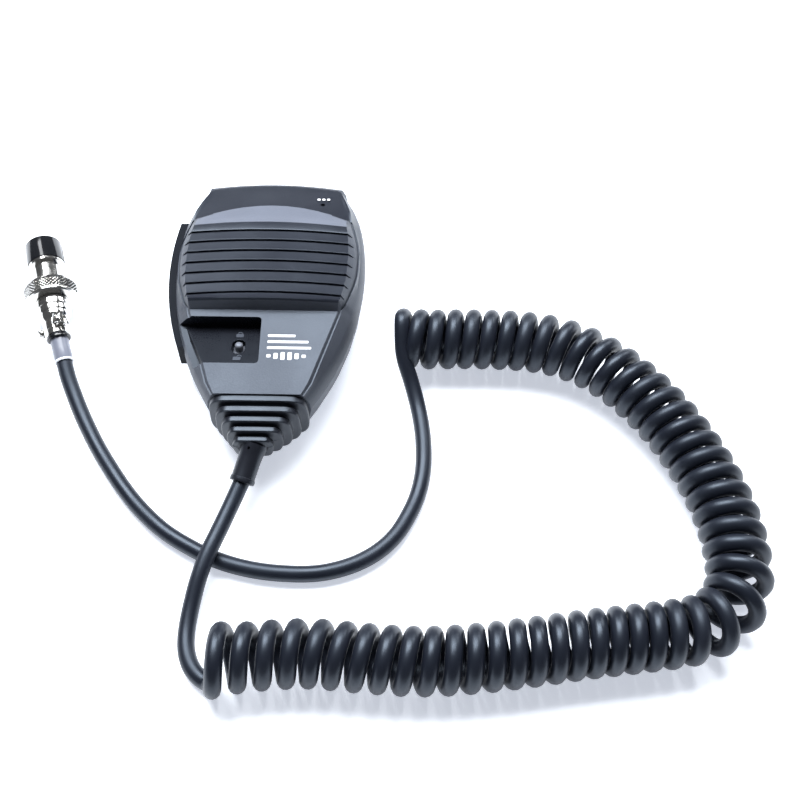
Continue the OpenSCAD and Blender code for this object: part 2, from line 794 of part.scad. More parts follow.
module plug_body() {
    color("#d5d6d8") on_plug(0) difference() {
        rotate_extrude() polygon([[0, tail_s], [body_r - 0.7, tail_s], [body_r - 0.3, step_s],
            [body_r, step_s], [body_r, shoulder_s], [collar_r, shoulder_s],
            [collar_r, insert_s - flange_l], [flange_r, insert_s - flange_l],
            [flange_r, insert_s], [0, insert_s]]);
        translate([0, 0, tail_s - 1]) cylinder(h = insert_s - tail_s + 2, r = collar_r - 1);
        translate([0, -body_r - 1, -4.9]) rotate([-90, 0, 0]) cylinder(h = 4, r = 0.9);
    }
}

module body_screw() {
    color("#8a8c90") on_plug(-4.9) translate([0, -body_r + 0.1, 0]) rotate([-90, 0, 0])
        cylinder(h = 1.8, r = 0.9);
}

module plug_tail() {
    color("#c9cacd") on_plug(0) difference() {
        union() {
            rotate_extrude() polygon([[cord_r, tail_end_s], [tail_r, tail_end_s],
                [tail_r, saddle_s + 2.4], [body_r - 0.9, tail_s - 0.1], [cord_r, tail_s - 0.1]]);
            rotate([0, 0, saddle_roll]) translate([-saddle_half - 1.6, -1.2, saddle_s - 2])
                cube([2 * saddle_half + 3.2, 2, 4]);
        }
        rotate([0, 0, saddle_roll]) {
            translate([-7, -8, saddle_s - 2.1]) cube([14, 6.7, 4.2]);
            for (x = [-saddle_half, saddle_half]) translate([x, -3, saddle_s])
                rotate([-90, 0, 0]) cylinder(h = 6, r = 0.8);
        }
        translate([0, 0, tail_end_s - 1]) cylinder(h = 12, r = cord_r + 0.45);
    }
}

module cable_saddle() {
    color("#dcdde0") on_plug(saddle_s) rotate([0, 0, saddle_roll]) difference() {
        union() {
            translate([0, 0, -1.9]) intersection() {
                cylinder(h = 3.8, r = tail_r + 0.4);
                translate([-8, -10, 0]) cube([16, 8.6, 3.8]);
            }
            translate([-saddle_half - 1.6, -2.8, -1.9]) cube([2 * saddle_half + 3.2, 1.4, 3.8]);
        }
        translate([0, 0, -3]) cylinder(h = 6, r = cord_r + 0.45);
        for (x = [-saddle_half, saddle_half]) translate([x, -6, 0])
            rotate([-90, 0, 0]) cylinder(h = 8, r = 0.8);
    }
}

module saddle_screws() {
    color("#e2e3e5") on_plug(saddle_s) rotate([0, 0, saddle_roll])
        for (x = [-saddle_half, saddle_half]) {
            translate([x, -4, 0]) rotate([-90, 0, 0]) cylinder(h = 1.2, r = 1.5);
            translate([x, -2.9, 0]) rotate([-90, 0, 0]) cylinder(h = 3.6, r = 0.8);
        }
}

module coupling_washer() {
    color("#b9babd") on_plug(shoulder_s + nut_wall + 0.1) difference() {
        cylinder(h = 0.6, r = thread_r - 0.3);
        translate([0, 0, -1]) cylinder(h = 3, r = collar_r + 0.05);
    }
}

module coupling_nut() {
    color("#e0e1e4") on_plug(-nut_l / 2) difference() {
        rotate_extrude() polygon([[nut_bore, 0.1], [nut_r - 0.5, 0.1], [nut_r, 0.6],
            [nut_r, nut_l - 0.5], [nut_r - 0.5, nut_l], [thread_r, nut_l], [thread_r, nut_wall],
            [nut_bore, nut_wall]]);
        for (i = [0 : knurls - 1]) rotate([0, 0, i * 360 / knurls])
            translate([nut_r + 0.1, 0, nut_l / 2]) rotate([0, 0, 45])
                cube([0.5, 0.5, nut_l - 1.6], center = true);
    }
}

front_shell();
dust_screen();
lock_plate();
lock_knob();
lock_switch();
talk_lever();
lever_pin();
lever_spring();
talk_switch();
talk_plunger();
up_key();
down_key();
key_switches();
main_board();
board_screws();
board_parts();
wire_header();
mic_capsule();
capsule_holder();
rear_shell();
case_screws();
hanger_stud();
stud_screw();
cord_clamp();
clamp_screws();
inner_cord();
inner_wires();
cord_boot();
lead_cord();
curly_cord();
plug_cord();
plug_sleeve();
sleeve_band();
plug_insert();
plug_contacts();
plug_body();
plug_tail();
coupling_washer();
coupling_nut();
cable_saddle();
saddle_screws();
body_screw();
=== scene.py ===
"""Hand microphone: the visible pieces, finishes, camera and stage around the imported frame."""

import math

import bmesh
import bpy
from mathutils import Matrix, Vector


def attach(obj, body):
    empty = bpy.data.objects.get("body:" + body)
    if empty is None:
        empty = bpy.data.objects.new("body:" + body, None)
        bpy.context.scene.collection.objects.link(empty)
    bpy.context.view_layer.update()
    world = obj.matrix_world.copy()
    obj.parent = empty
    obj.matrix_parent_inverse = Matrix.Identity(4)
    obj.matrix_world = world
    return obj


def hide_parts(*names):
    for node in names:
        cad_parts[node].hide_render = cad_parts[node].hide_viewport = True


bl_info = {
    "name": "Hand microphone",
    "version": (1, 0, 0),
    "blender": (4, 5, 0),
    "location": "View3D > Sidebar > Microphone",
    "description": "Builds the looks of a louvred hand microphone with a curly cord and a round plug",
    "category": "Object",
}

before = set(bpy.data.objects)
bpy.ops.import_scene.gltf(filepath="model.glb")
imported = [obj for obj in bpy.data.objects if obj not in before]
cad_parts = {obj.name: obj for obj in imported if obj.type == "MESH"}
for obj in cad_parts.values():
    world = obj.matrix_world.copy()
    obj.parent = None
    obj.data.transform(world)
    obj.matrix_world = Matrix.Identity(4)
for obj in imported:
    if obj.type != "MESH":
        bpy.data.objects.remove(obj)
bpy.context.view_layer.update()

MM = 0.001
WELD = 1e-7
NODE_WELD = 2e-6
UP = Vector((0, 0, 1))


# ---------------------------------------------------------------- finishes

class Sock:
    """One output of a shader node, with the arithmetic that the finishes use."""

    def __init__(self, graph, out):
        self.graph = graph
        self.out = out

    def _math(self, operation, a, b):
        return self.graph.node("ShaderNodeMath", {"operation": operation}, {0: a, 1: b})

    def __add__(self, other):
        return self._math("ADD", self, other)

    def __radd__(self, other):
        return self._math("ADD", other, self)

    def __mul__(self, other):
        return self._math("MULTIPLY", self, other)

    def most(self, other):
        return self._math("MAXIMUM", self, other)


class Graph:
    """A material's nodes, ending in one Principled shader."""

    def __init__(self, name):
        self.material = bpy.data.materials.new(name)
        self.material.use_nodes = True
        self.tree = self.material.node_tree
        self.shader = self.tree.nodes["Principled BSDF"]
        self.place = self.node("ShaderNodeTexCoord", {}, {}, "Object")

    def node(self, kind, settings, inputs, out=0):
        made = self.tree.nodes.new(kind)
        for key, value in settings.items():
            setattr(made, key, value)
        for key, value in inputs.items():
            self.feed(made.inputs[key], value)
        return Sock(self, made.outputs[out])

    def feed(self, socket, value):
        if isinstance(value, Sock):
            self.tree.links.new(value.out, socket)
        else:
            socket.default_value = value

    def noise(self, scale, detail=2.0, roughness=0.5, place=None):
        return self.node("ShaderNodeTexNoise", {}, {"Vector": place or self.place, "Scale": scale,
            "Detail": detail, "Roughness": roughness})

    def cells(self, scale, feature="F1"):
        return self.node("ShaderNodeTexVoronoi", {"feature": feature}, {"Vector": self.place, "Scale": scale})

    def blend(self, factor, a, b):
        return self.node("ShaderNodeMix", {"data_type": "RGBA"}, {0: factor, 6: a, 7: b}, 2)

    def between(self, value, low, high, a=0.0, b=1.0):
        return self.node("ShaderNodeMapRange", {"interpolation_type": "SMOOTHSTEP"}, {"Value": value,
            "From Min": low, "From Max": high, "To Min": a, "To Max": b})

    def parts(self):
        split = self.tree.nodes.new("ShaderNodeSeparateXYZ")
        self.tree.links.new(self.place.out, split.inputs[0])
        return [Sock(self, s) for s in split.outputs]

    def bump(self, height, strength, distance):
        return self.node("ShaderNodeBump", {}, {"Height": height, "Strength": strength, "Distance": distance})

    def finish(self, **values):
        for key, value in values.items():
            self.feed(self.shader.inputs[key.replace("_", " ")], value)
        return self.material


def tone(rgb, gain=1.0):
    return (rgb[0] * gain, rgb[1] * gain, rgb[2] * gain, 1.0)


SHEEN = (0.72, 0.84, 1.0, 1.0)


def moulded(name, rgb, rough=0.42, grain=1500.0, depth=0.25, spread=0.16, shine=0.5):
    """Moulded plastic: a fine spark texture, slow shade changes and a little dust."""
    g = Graph(name)
    slow = g.noise(55.0, 3.0)
    fine = g.noise(grain, 2.0, 0.6)
    pits = g.cells(grain * 0.8)
    scuff = g.between(g.noise(260.0, 6.0, 0.75), 0.62, 0.74)
    shade = g.blend(slow, tone(rgb, 1 - spread), tone(rgb, 1 + spread))
    shade = g.blend(scuff * 0.12, shade, tone(rgb, 1.9))
    height = fine * 0.6 + pits * 0.4
    satin = g.between(slow * 0.6 + fine * 0.4, 0.3, 0.7, rough - 0.05, rough + 0.07) + scuff * 0.08
    return g.finish(Base_Color=shade, Roughness=satin, Normal=g.bump(height, depth, 0.00006),
        Specular_IOR_Level=shine, Specular_Tint=SHEEN)


def rubber(name, rgb, rough=0.5, grain=900.0, depth=0.12, shine=0.5):
    """Satin rubber or vinyl: slow bloom, faint marks and a very fine skin."""
    g = Graph(name)
    bloom = g.noise(34.0, 4.0, 0.6)
    skin = g.noise(grain, 3.0)
    mark = g.between(g.noise(150.0, 8.0, 0.8), 0.64, 0.72)
    shade = g.blend(bloom, tone(rgb, 0.8), tone(rgb, 1.25))
    shade = g.blend(mark * 0.18, shade, tone(rgb, 2.2))
    satin = g.between(bloom, 0.3, 0.7, rough - 0.06, rough + 0.08) + mark * 0.1
    return g.finish(Base_Color=shade, Roughness=satin, Normal=g.bump(skin, depth, 0.00005),
        Specular_IOR_Level=shine, Specular_Tint=SHEEN)


def metal(name, rgb, rough=0.16, grain=700.0, depth=0.03, stretch=(1.0, 1.0, 1.0)):
    """Plated or turned metal: fine lines, a little tarnish and finger marks."""
    g = Graph(name)
    place = g.node("ShaderNodeMapping", {}, {"Vector": g.place, "Scale": stretch})
    lines = g.noise(grain, 3.0, 0.6, place)
    cloud = g.noise(120.0, 4.0, 0.6)
    shade = g.blend(cloud, tone(rgb, 0.86), tone(rgb, 1.0))
    return g.finish(Base_Color=shade, Metallic=1.0, Roughness=g.between(cloud * 0.5 + lines * 0.5, 0.3, 0.7,
        rough - 0.04, rough + 0.06), Normal=g.bump(lines, depth, 0.00004))


def glossy(name, rgb, rough=0.12):
    """Polished plastic with hairline scratches."""
    g = Graph(name)
    hair = g.between(g.noise(1400.0, 6.0, 0.8), 0.6, 0.75)
    cloud = g.noise(80.0, 3.0)
    return g.finish(Base_Color=g.blend(cloud, tone(rgb, 0.85), tone(rgb, 1.2)),
        Roughness=rough + hair * 0.1 + cloud * 0.05, Normal=g.bump(hair, 0.05, 0.00002))


def cloth(name, rgb):
    """Dust cloth behind the louvres: a plain weave."""
    g = Graph(name)
    x, y, z = g.parts()
    warp = g.node("ShaderNodeMath", {"operation": "SINE"}, {0: x * 9000.0})
    weft = g.node("ShaderNodeMath", {"operation": "SINE"}, {0: y * 9000.0})
    weave = warp.most(weft)
    return g.finish(Base_Color=g.blend(weave, tone(rgb, 0.4), tone(rgb, 1.4)), Roughness=0.9,
        Normal=g.bump(weave, 0.5, 0.0001))


def solder_board(name, rgb):
    """Board lacquer over copper runs."""
    g = Graph(name)
    runs = g.between(g.cells(240.0, "DISTANCE_TO_EDGE"), 0.02, 0.05)
    pads = g.between(g.cells(420.0), 0.12, 0.16)
    shade = g.blend(runs, tone(rgb, 1.7), tone(rgb, 0.9))
    return g.finish(Base_Color=g.blend(pads, (0.75, 0.72, 0.62, 1), shade), Roughness=0.35 + runs * 0.1,
        Normal=g.bump(runs, 0.3, 0.0001))


FINISHES = {}


def make_finishes(tones):
    """Every finish by name, from the colours in the panel."""
    case = tuple(tones.case)
    dark = tuple(tones.dark)
    vinyl = tuple(tones.cord)
    chrome = tuple(tones.chrome)
    FINISHES.update({
        "case": moulded("case_plastic", case, 0.5, 1700.0, 0.85),
        # The ramp's finish is the case plastic painted 2.4 times lighter: painted light, for the ramp that
        # faces the top light.
        "ramp_painted_light": moulded("ramp_painted_light_plastic", tuple(c * 2.4 for c in case), 0.5, 1700.0, 0.85),
        "band": moulded("band_plastic", tuple(tones.band), 0.36, 3200.0, 0.07, 0.06),
        "bars": moulded("bar_plastic", tuple(tones.band), 0.34, 3200.0, 0.08, 0.08),
        "dark": moulded("dark_plastic", dark, 0.3, 2600.0, 0.1, 0.16, 0.25),
        "lever": moulded("lever_plastic", tuple(c * 0.8 for c in dark), 0.45, 1800.0, 0.4, 0.16, 0.05),
        "stud": moulded("stud_plastic", (0.16, 0.17, 0.2), 0.35, 2600.0, 0.05),
        "boot": rubber("boot_rubber", tuple(tones.boot), 0.36, 900.0, 0.12, 0.45),
        "cord": rubber("cord_jacket", vinyl, 0.4, 1400.0, 0.07),
        "cloth": cloth("dust_cloth", (0.01, 0.01, 0.012)),
        "sleeve": glossy("sleeve_tube", (0.2, 0.215, 0.27), 0.26),
        "white": glossy("white_band", (0.82, 0.85, 0.9), 0.35),
        "plug_black": glossy("plug_black", (0.008, 0.009, 0.011), 0.09),
        "chrome": metal("plug_chrome", chrome, 0.13, 700.0, 0.012),
        "turned": metal("turned_steel", (0.6, 0.61, 0.62), 0.26, 900.0, 0.06, (1.0, 1.0, 12.0)),
        "screw": metal("screw_steel", (0.5, 0.51, 0.52), 0.3),
        "gilt": metal("contact_gilt", (0.85, 0.66, 0.32), 0.22),
        "capsule": metal("capsule_metal", (0.75, 0.76, 0.77), 0.3),
        "board": solder_board("board_lacquer", (0.02, 0.14, 0.05)),
        "light": moulded("light_plastic", (0.68, 0.66, 0.6), 0.45),
        "red": moulded("red_plastic", (0.45, 0.03, 0.02), 0.4),
        "wires": glossy("wire_covering", (0.5, 0.04, 0.03), 0.35),
        "print": moulded("white_print", (0.8, 0.8, 0.82), 0.6, 4000.0, 0.05, 0.05),
        "relief": moulded("raised_mark", (0.045, 0.05, 0.065), 0.4, 2600.0, 0.1),
    })


# ---------------------------------------------------------------- making pieces

def new_piece(name, bm, finishes, body, replaces=(), smooth=30.0):
    """Turns a bmesh into a finished piece that rides on a body."""
    bmesh.ops.remove_doubles(bm, verts=bm.verts, dist=WELD)
    bmesh.ops.recalc_face_normals(bm, faces=bm.faces)
    mesh = bpy.data.meshes.new(name)
    bm.to_mesh(mesh)
    bm.free()
    for finish in finishes:
        mesh.materials.append(FINISHES[finish])
    piece = bpy.data.objects.new(name, mesh)
    bpy.context.scene.collection.objects.link(piece)
    if smooth:
        for polygon in mesh.polygons:
            polygon.use_smooth = True
        mesh.set_sharp_from_angle(angle=math.radians(smooth))
    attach(piece, body)
    if replaces:
        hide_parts(*replaces)
    return piece


def soften(piece, width, segments=2, angle=30.0):
    """Rounds the piece's edges."""
    bevel = piece.modifiers.new("round", "BEVEL")
    bevel.width = width * MM
    bevel.segments = segments
    bevel.limit_method = "ANGLE"
    bevel.angle_limit = math.radians(angle)
    bevel.use_clamp_overlap = True
    bevel.harden_normals = True
    return piece


def carve(piece, cutters):
    """Takes the cutters out of the piece for good."""
    for cutter in cutters:
        cut = piece.modifiers.new("cut", "BOOLEAN")
        cut.operation = "DIFFERENCE"
        cut.solver = "EXACT"
        cut.object = cutter
    bpy.context.view_layer.update()
    done = bpy.data.meshes.new_from_object(piece.evaluated_get(bpy.context.evaluated_depsgraph_get()))
    piece.modifiers.clear()
    piece.data = done
    for cutter in cutters:
        bpy.data.objects.remove(cutter)
    return piece


def loose(name, bm, finish=None):
    """A helper shape that is only used to cut another."""
    bmesh.ops.recalc_face_normals(bm, faces=bm.faces)
    mesh = bpy.data.meshes.new(name)
    bm.to_mesh(mesh)
    bm.free()
    if finish:
        mesh.materials.append(FINISHES[finish])
    helper = bpy.data.objects.new(name, mesh)
    bpy.context.scene.collection.objects.link(helper)
    return helper


def ring(bm, points):
    """A closed loop of edges through the points."""
    verts = [bm.verts.new(p) for p in points]
    return [bm.edges.new((verts[i], verts[(i + 1) % len(verts)])) for i in range(len(verts))]


def loft(bm, loops):
    """Skins a row of closed loops and closes both ends."""
    rings = [ring(bm, loop) for loop in loops]
    for a, b in zip(rings, rings[1:]):
        bmesh.ops.bridge_loops(bm, edges=a + b)
    for end in (rings[0], rings[-1]):
        bmesh.ops.contextual_create(bm, geom=end)


def axes_along(direction):
    """Two directions square to one."""
    side = direction.cross(UP)
    if side.length < 1e-4:
        side = Vector((1, 0, 0))
    side.normalize()
    return side, side.cross(direction).normalized()


def turned(bm, profile, origin, direction, steps=64, closed=False):
    """Spins (radius, station) pairs in mm about an axis. closed joins the last pair to the first."""
    side, _ = axes_along(direction)
    verts = [bm.verts.new(origin + direction * (s * MM) + side * (r * MM)) for r, s in profile]
    count = len(verts) if closed else len(verts) - 1
    edges = [bm.edges.new((verts[i], verts[(i + 1) % len(verts)])) for i in range(count)]
    bmesh.ops.spin(bm, geom=verts + edges, cent=origin, axis=direction, angle=2 * math.pi, steps=steps,
        use_merge=True)
    bmesh.ops.remove_doubles(bm, verts=bm.verts, dist=WELD)


def block(bm, low, high):
    """A box between two corners in mm. Gives its corners."""
    middle = [(a + b) / 2 * MM for a, b in zip(low, high)]
    size = [(b - a) * MM for a, b in zip(low, high)]
    spot = Matrix.Translation(middle) @ Matrix.Diagonal((*size, 1))
    return bmesh.ops.create_cube(bm, size=1.0, matrix=spot)["verts"]


def disc_prism(bm, centre, radius, depth, direction=UP, segments=32):
    """A short round bar, from centre along direction, in mm."""
    turn = direction.to_track_quat("Z", "Y").to_matrix().to_4x4()
    spot = Matrix.Translation((Vector(centre) + direction * depth / 2) * MM)
    return bmesh.ops.create_cone(bm, cap_ends=True, segments=segments, radius1=radius * MM,
        radius2=radius * MM, depth=depth * MM, matrix=spot @ turn)["verts"]


def edges_of(verts):
    """Every edge that meets these corners, once each."""
    return list({e for v in verts for e in v.link_edges})


def standing(verts):
    """The block's edges that run up its Z."""
    return [e for e in edges_of(verts) if abs(e.verts[0].co.z - e.verts[1].co.z) > 1e-5]


def round_off(bm, edges, width, segments):
    """Rounds these edges in the mesh itself, width in mm."""
    bmesh.ops.bevel(bm, geom=edges, offset=width * MM, segments=segments, profile=0.5, affect="EDGES",
        material=-1)


# ---------------------------------------------------------------- case outline, in mm

TOP_Y, END_Y, PART_Z = 49.0, -42.5, 17.0
HALF_W, SIDE_R, WIDEST_Y, SHOULDER_A, SHOULDER_R, TOP_R = 32.8, 105.0, 13.0, 7.0, 45.0, 130.0
PANEL_Y, BAND_Y = -11.3, 34.4
SKIRT_IN, SKIRT_Z = 1.2, 23.2
SIDE_C = (HALF_W - SIDE_R, WIDEST_Y)
SHOULDER_C = (SIDE_C[0] + (SIDE_R - SHOULDER_R) * math.cos(math.radians(SHOULDER_A)),
    SIDE_C[1] + (SIDE_R - SHOULDER_R) * math.sin(math.radians(SHOULDER_A)))


def half_width(y, inset=0.0):
    """Half the case's width at y, pulled in by inset."""
    if y < WIDEST_Y + SIDE_R * math.sin(math.radians(SHOULDER_A)):
        return SIDE_C[0] + math.sqrt((SIDE_R - inset) ** 2 - (y - SIDE_C[1]) ** 2)
    reach = max(0.0, (SHOULDER_R - inset) ** 2 - (y - SHOULDER_C[1]) ** 2)
    return SHOULDER_C[0] + math.sqrt(reach)


def top_bow(x):
    """How far the top edge drops at x."""
    return x * x / (2 * TOP_R)


# ---------------------------------------------------------------- cord route, in mm

LEAD = [(-4.2, -65.3, 10.6), (-7, -73, 9.4), (-10.2, -82, 8.7), (-13.2, -90.4, 8.3),
    (-15.5, -98, 6.8), (-17.1, -105.5, 4.4), (-18, -113, 3), (-17.6, -120, 2.8),
    (-15, -126.2, 2.8), (-10.5, -130.2, 2.8)]
COIL = [(-9.5, -126), (3, -124.6), (20, -123.4), (38, -124.6), (54, -125.2), (70, -124),
    (86, -121.8), (102, -119.2), (118, -117), (129, -115.4), (137.5, -113.4), (144.5, -109.4),
    (149.2, -103), (151.2, -95), (151, -85.5), (149.6, -76), (146.6, -65.5), (142, -54.5),
    (136, -43.5), (128.5, -33), (119.5, -23.5), (109.5, -16.3), (98.5, -11.7), (87, -9.8),
    (76, -9.3), (66, -9.3), (56, -9.6), (46, -9.2)]
TAIL = [(46.6, -17, 12.2), (49.4, -24, 6.6), (51.8, -32, 3.4), (53.4, -41, 2.8), (54, -49.5, 2.8),
    (53.7, -58, 2.8), (52, -66.5, 2.8), (49, -74, 2.8), (45, -81, 2.8), (39, -87, 2.8),
    (31, -91.5, 2.8), (21, -94.2, 2.8), (9.5, -94.4, 2.8), (-1, -93.1, 2.8), (-11, -90.3, 2.8),
    (-20, -86, 2.8), (-29, -80.4, 2.8), (-37.3, -73, 2.8), (-43.7, -65.7, 2.8),
    (-49.1, -58.4, 2.8), (-54.2, -50.9, 2.8), (-58.7, -43.4, 2.9), (-62.6, -36.3, 3.5),
    (-66, -29.3, 4.7), (-68.6, -23.4, 6.2), (-71, -16, 8.2), (-72.9, -10.4, 9.5)]
COIL_R = 10.6


def smooth_line(points, step):
    """A line through the points with an even step, by Catmull-Rom spans."""
    pts = [Vector(p) for p in points]
    pts = [2 * pts[0] - pts[1]] + pts + [2 * pts[-1] - pts[-2]]
    dense = []
    for i in range(1, len(pts) - 2):
        a, b, c, d = pts[i - 1:i + 3]
        for k in range(24):
            t = k / 24
            dense.append(0.5 * ((2 * b) + (c - a) * t + (2 * a - 5 * b + 4 * c - d) * t * t
                + (3 * b - a - 3 * c + d) * t ** 3))
    dense.append(pts[-2])
    out = [dense[0]]
    gap = step
    for a, b in zip(dense, dense[1:]):
        run = (b - a).length
        while run >= gap:
            a = a + (b - a) * (gap / run)
            run = (b - a).length
            out.append(a)
            gap = step
        gap -= run
    out.append(dense[-1])
    return out


def relax(points, rounds):
    """Evens out the bends, with the ends held."""
    for _ in range(rounds):
        points = [points[0]] + [(a + 2 * b + c) / 4 for a, b, c in zip(points, points[1:], points[2:])] \
            + [points[-1]]
    return points


def curly_line(cord_r, turns):
    """The strand's middle line around the coil's own line, closest where it runs straight."""
    spine = smooth_line([(x, y, COIL_R) for x, y in COIL], 0.5)
    total = len(spine) - 1
    strand_r = COIL_R - cord_r
    heads = [(spine[min(i + 1, total)] - spine[max(i - 1, 0)]).normalized() for i in range(total + 1)]
    density = []
    for i in range(total + 1):
        a, b = heads[max(i - 8, 0)], heads[min(i + 8, total)]
        bend = a.angle(b) / (0.5 * (min(i + 8, total) - max(i - 8, 0)))
        along = i / total
        wanted = 7.3 - 1.7 * min(1.0, along / 0.36) if along < 0.5 else 5.9
        tight = 2.08 * cord_r / (1 - 0.92 * strand_r * bend)
        density.append(1 / max(wanted, tight))
    for _ in range(40):
        density = [density[0]] + [(a + b + c) / 3 for a, b, c in zip(density, density[1:], density[2:])] \
            + [density[-1]]
    start, end = math.radians(-62), math.radians(112)
    scale = (turns + (end - start) / (2 * math.pi)) / (sum(density) * 0.5)
    out = []
    phase = start
    for i in range(total + 1):
        near = heads[i].cross(UP)
        ease = max(0.0, 1 - i / 22)
        reach = strand_r + 1.3 * ease
        out.append(spine[i] + near * (reach * math.cos(phase)) + UP * (strand_r * math.sin(phase)))
        phase += 2 * math.pi * density[i] * scale * 0.5
    return out


# ---------------------------------------------------------------- front of the case

def between_knots(knots, y):
    """A smooth value at y from (y, value) knots in rising order."""
    if y <= knots[0][0]:
        return knots[0][1]
    for (ya, a), (yb, b) in zip(knots, knots[1:]):
        if y <= yb:
            t = (y - ya) / (yb - ya)
            return a + (b - a) * t
    return knots[-1][1]


BEZEL = [(-42.5, 15.9), (-11.6, 25.4), (-9.3, 25.9), (-7.4, 27.2), (0, 29.6), (5, 30.7), (10, 31.1),
    (14, 30.9), (18, 30.4), (24, 29.0), (30.5, 27.0), (33.5, 26.9), (46.5, 22.4), (49, 21.0)]
EDGE = [(-42.5, 14.8), (-11.6, 24.5), (-9.3, 25.0), (-7, 25.7), (0, 27.0), (10, 27.5), (18, 27.1),
    (24.2, 26.2), (30.5, 26.0), (33.5, 25.9), (46.5, 21.4), (49, 20.0)]
BEZEL_Z = [(-42.5, 25.0), (-11.6, 27.0), (-9.3, 27.0), (24, 27.0), (30, 27.2), (34.4, 27.4), (46.0, 23.9),
    (49, 23.5)]
EDGE_Z = [(-42.5, 26.0), (-11.6, 28.0), (-10.9, 28.1), (-9.3, 31.3), (-8.6, 31.6), (20.2, 31.6), (24.2, 30.7),
    (25.0, 30.5), (34.4, 28.0), (46.5, 24.4), (49, 24.0)]
SLOT_FLOOR, BLADE, LAST_SLOT_Y, SLOT_PITCH = 29.4, 0.75, 19.6, 4.4
BOW_LIMIT = 26.5
FRONT_FINISHES = ["case", "band", "bars", "cloth", "dark", "ramp_painted_light"]


def face_rows(sizes):
    """Stations up the face: (y at the middle, bow, crown, sink) in rising order."""
    rows = [(END_Y, 0, 0, 0)]
    rows += [(y, 0, 0, 0) for y in (-42.1, -38, -32, -26, -20, -15, -12.2, -11.6)]
    rows += [(PANEL_Y, 0, 0.06, 0), (-10.9, 0, 0.1, 0), (-9.5, 0, 0.92, 0), (-9.1, 0, 1.0, 0),
        (-8.7, 0, 1.0, 0)]
    half = sizes.slot_width / MM / 2
    for k in reversed(range(sizes.slots)):
        y = LAST_SLOT_Y - SLOT_PITCH * k
        rows += [(y - half, 0.2, 1.0, BLADE * 0.82), (y + half - 0.34, 0.2, 1.0, BLADE),
            (y + half - 0.32, 0.2, 1.0, 9), (y + half - 0.02, 0.2, 1.0, 9), (y + half, 0.2, 1.0, 0.1),
            (y + half + 0.3, 0.2, 1.0, 0)]
    rows += [(24.2, 0.35, 0.98, 0), (24.5, 0.4, 0.95, 0), (24.9, 0.45, 0.9, 0), (27, 0.8, 0.62, 0),
        (29.5, 1.25, 0.36, 0), (32, 1.8, 0.16, 0), (33.9, 2.2, 0.03, 0), (34.4, 2.25, 0.0, 0),
        (34.9, 2.25, 0.0, 0), (38, 1.9, 0, 0), (42, 1.4, 0, 0), (46.0, 1.0, 0, 0), (46.9, 1.0, 0, 0)]
    return rows


def face_columns():
    """Stations across, from the outline to the middle: (line it starts from, line it ends at, share, dip)."""
    rim = [("outline", 0, 0), ("wall", 0, 0), ("skirt", 0, 0), ("over", 0, 0)]
    groove = [("bezel", 0.25, 0.0), ("bezel", 0.12, 0.55), ("bezel", -0.12, 0.55), ("bezel", -0.25, 0.0)]
    inside = [("slope", 0.5, 0), ("edge", 0.0, 0)] + [("across", t, 0) for t in (0.96, 0.8, 0.6, 0.4, 0.2)]
    return rim + groove + inside


def face_point(row, column):
    """Where a row and a column cross, for the right half."""
    y_mid, bow, crown, sink = row
    kind, value, dip = column
    y = y_mid
    for _ in range(6):
        bezel = min(between_knots(BEZEL, y), half_width(y, 1.9))
        edge = min(between_knots(EDGE, y), bezel - 0.7)
        x = {"outline": half_width(y), "wall": half_width(y, 0.3), "skirt": half_width(y, SKIRT_IN),
            "over": half_width(y, SKIRT_IN + 0.35), "bezel": bezel + value, "slope": (bezel + edge) / 2,
            "edge": edge, "across": edge * value}[kind]
        y = y_mid - bow * top_bow(min(x, BOW_LIMIT))
    lip = between_knots(BEZEL_Z, y)
    crest = between_knots(EDGE_Z, y_mid)
    grille = 0.0 if y_mid < -9.4 or y_mid > 33.9 else 1.0
    arch = 1 - value ** 2
    z = {"outline": PART_Z, "wall": PART_Z + 3.6, "skirt": SKIRT_Z, "over": SKIRT_Z + 0.5,
        "bezel": lip - dip * grille, "slope": (lip + crest) / 2 + 0.25 * grille, "edge": crest,
        "across": crest + 1.2 * crown * arch + (0.5 * arch if y_mid > 30 else 0)}[kind]
    if sink and kind in ("slope", "edge", "across"):
        z = max(z - sink * (0.5 if kind == "slope" and sink < 1 else 1.0), SLOT_FLOOR)
    return Vector((x, y, z)) * MM


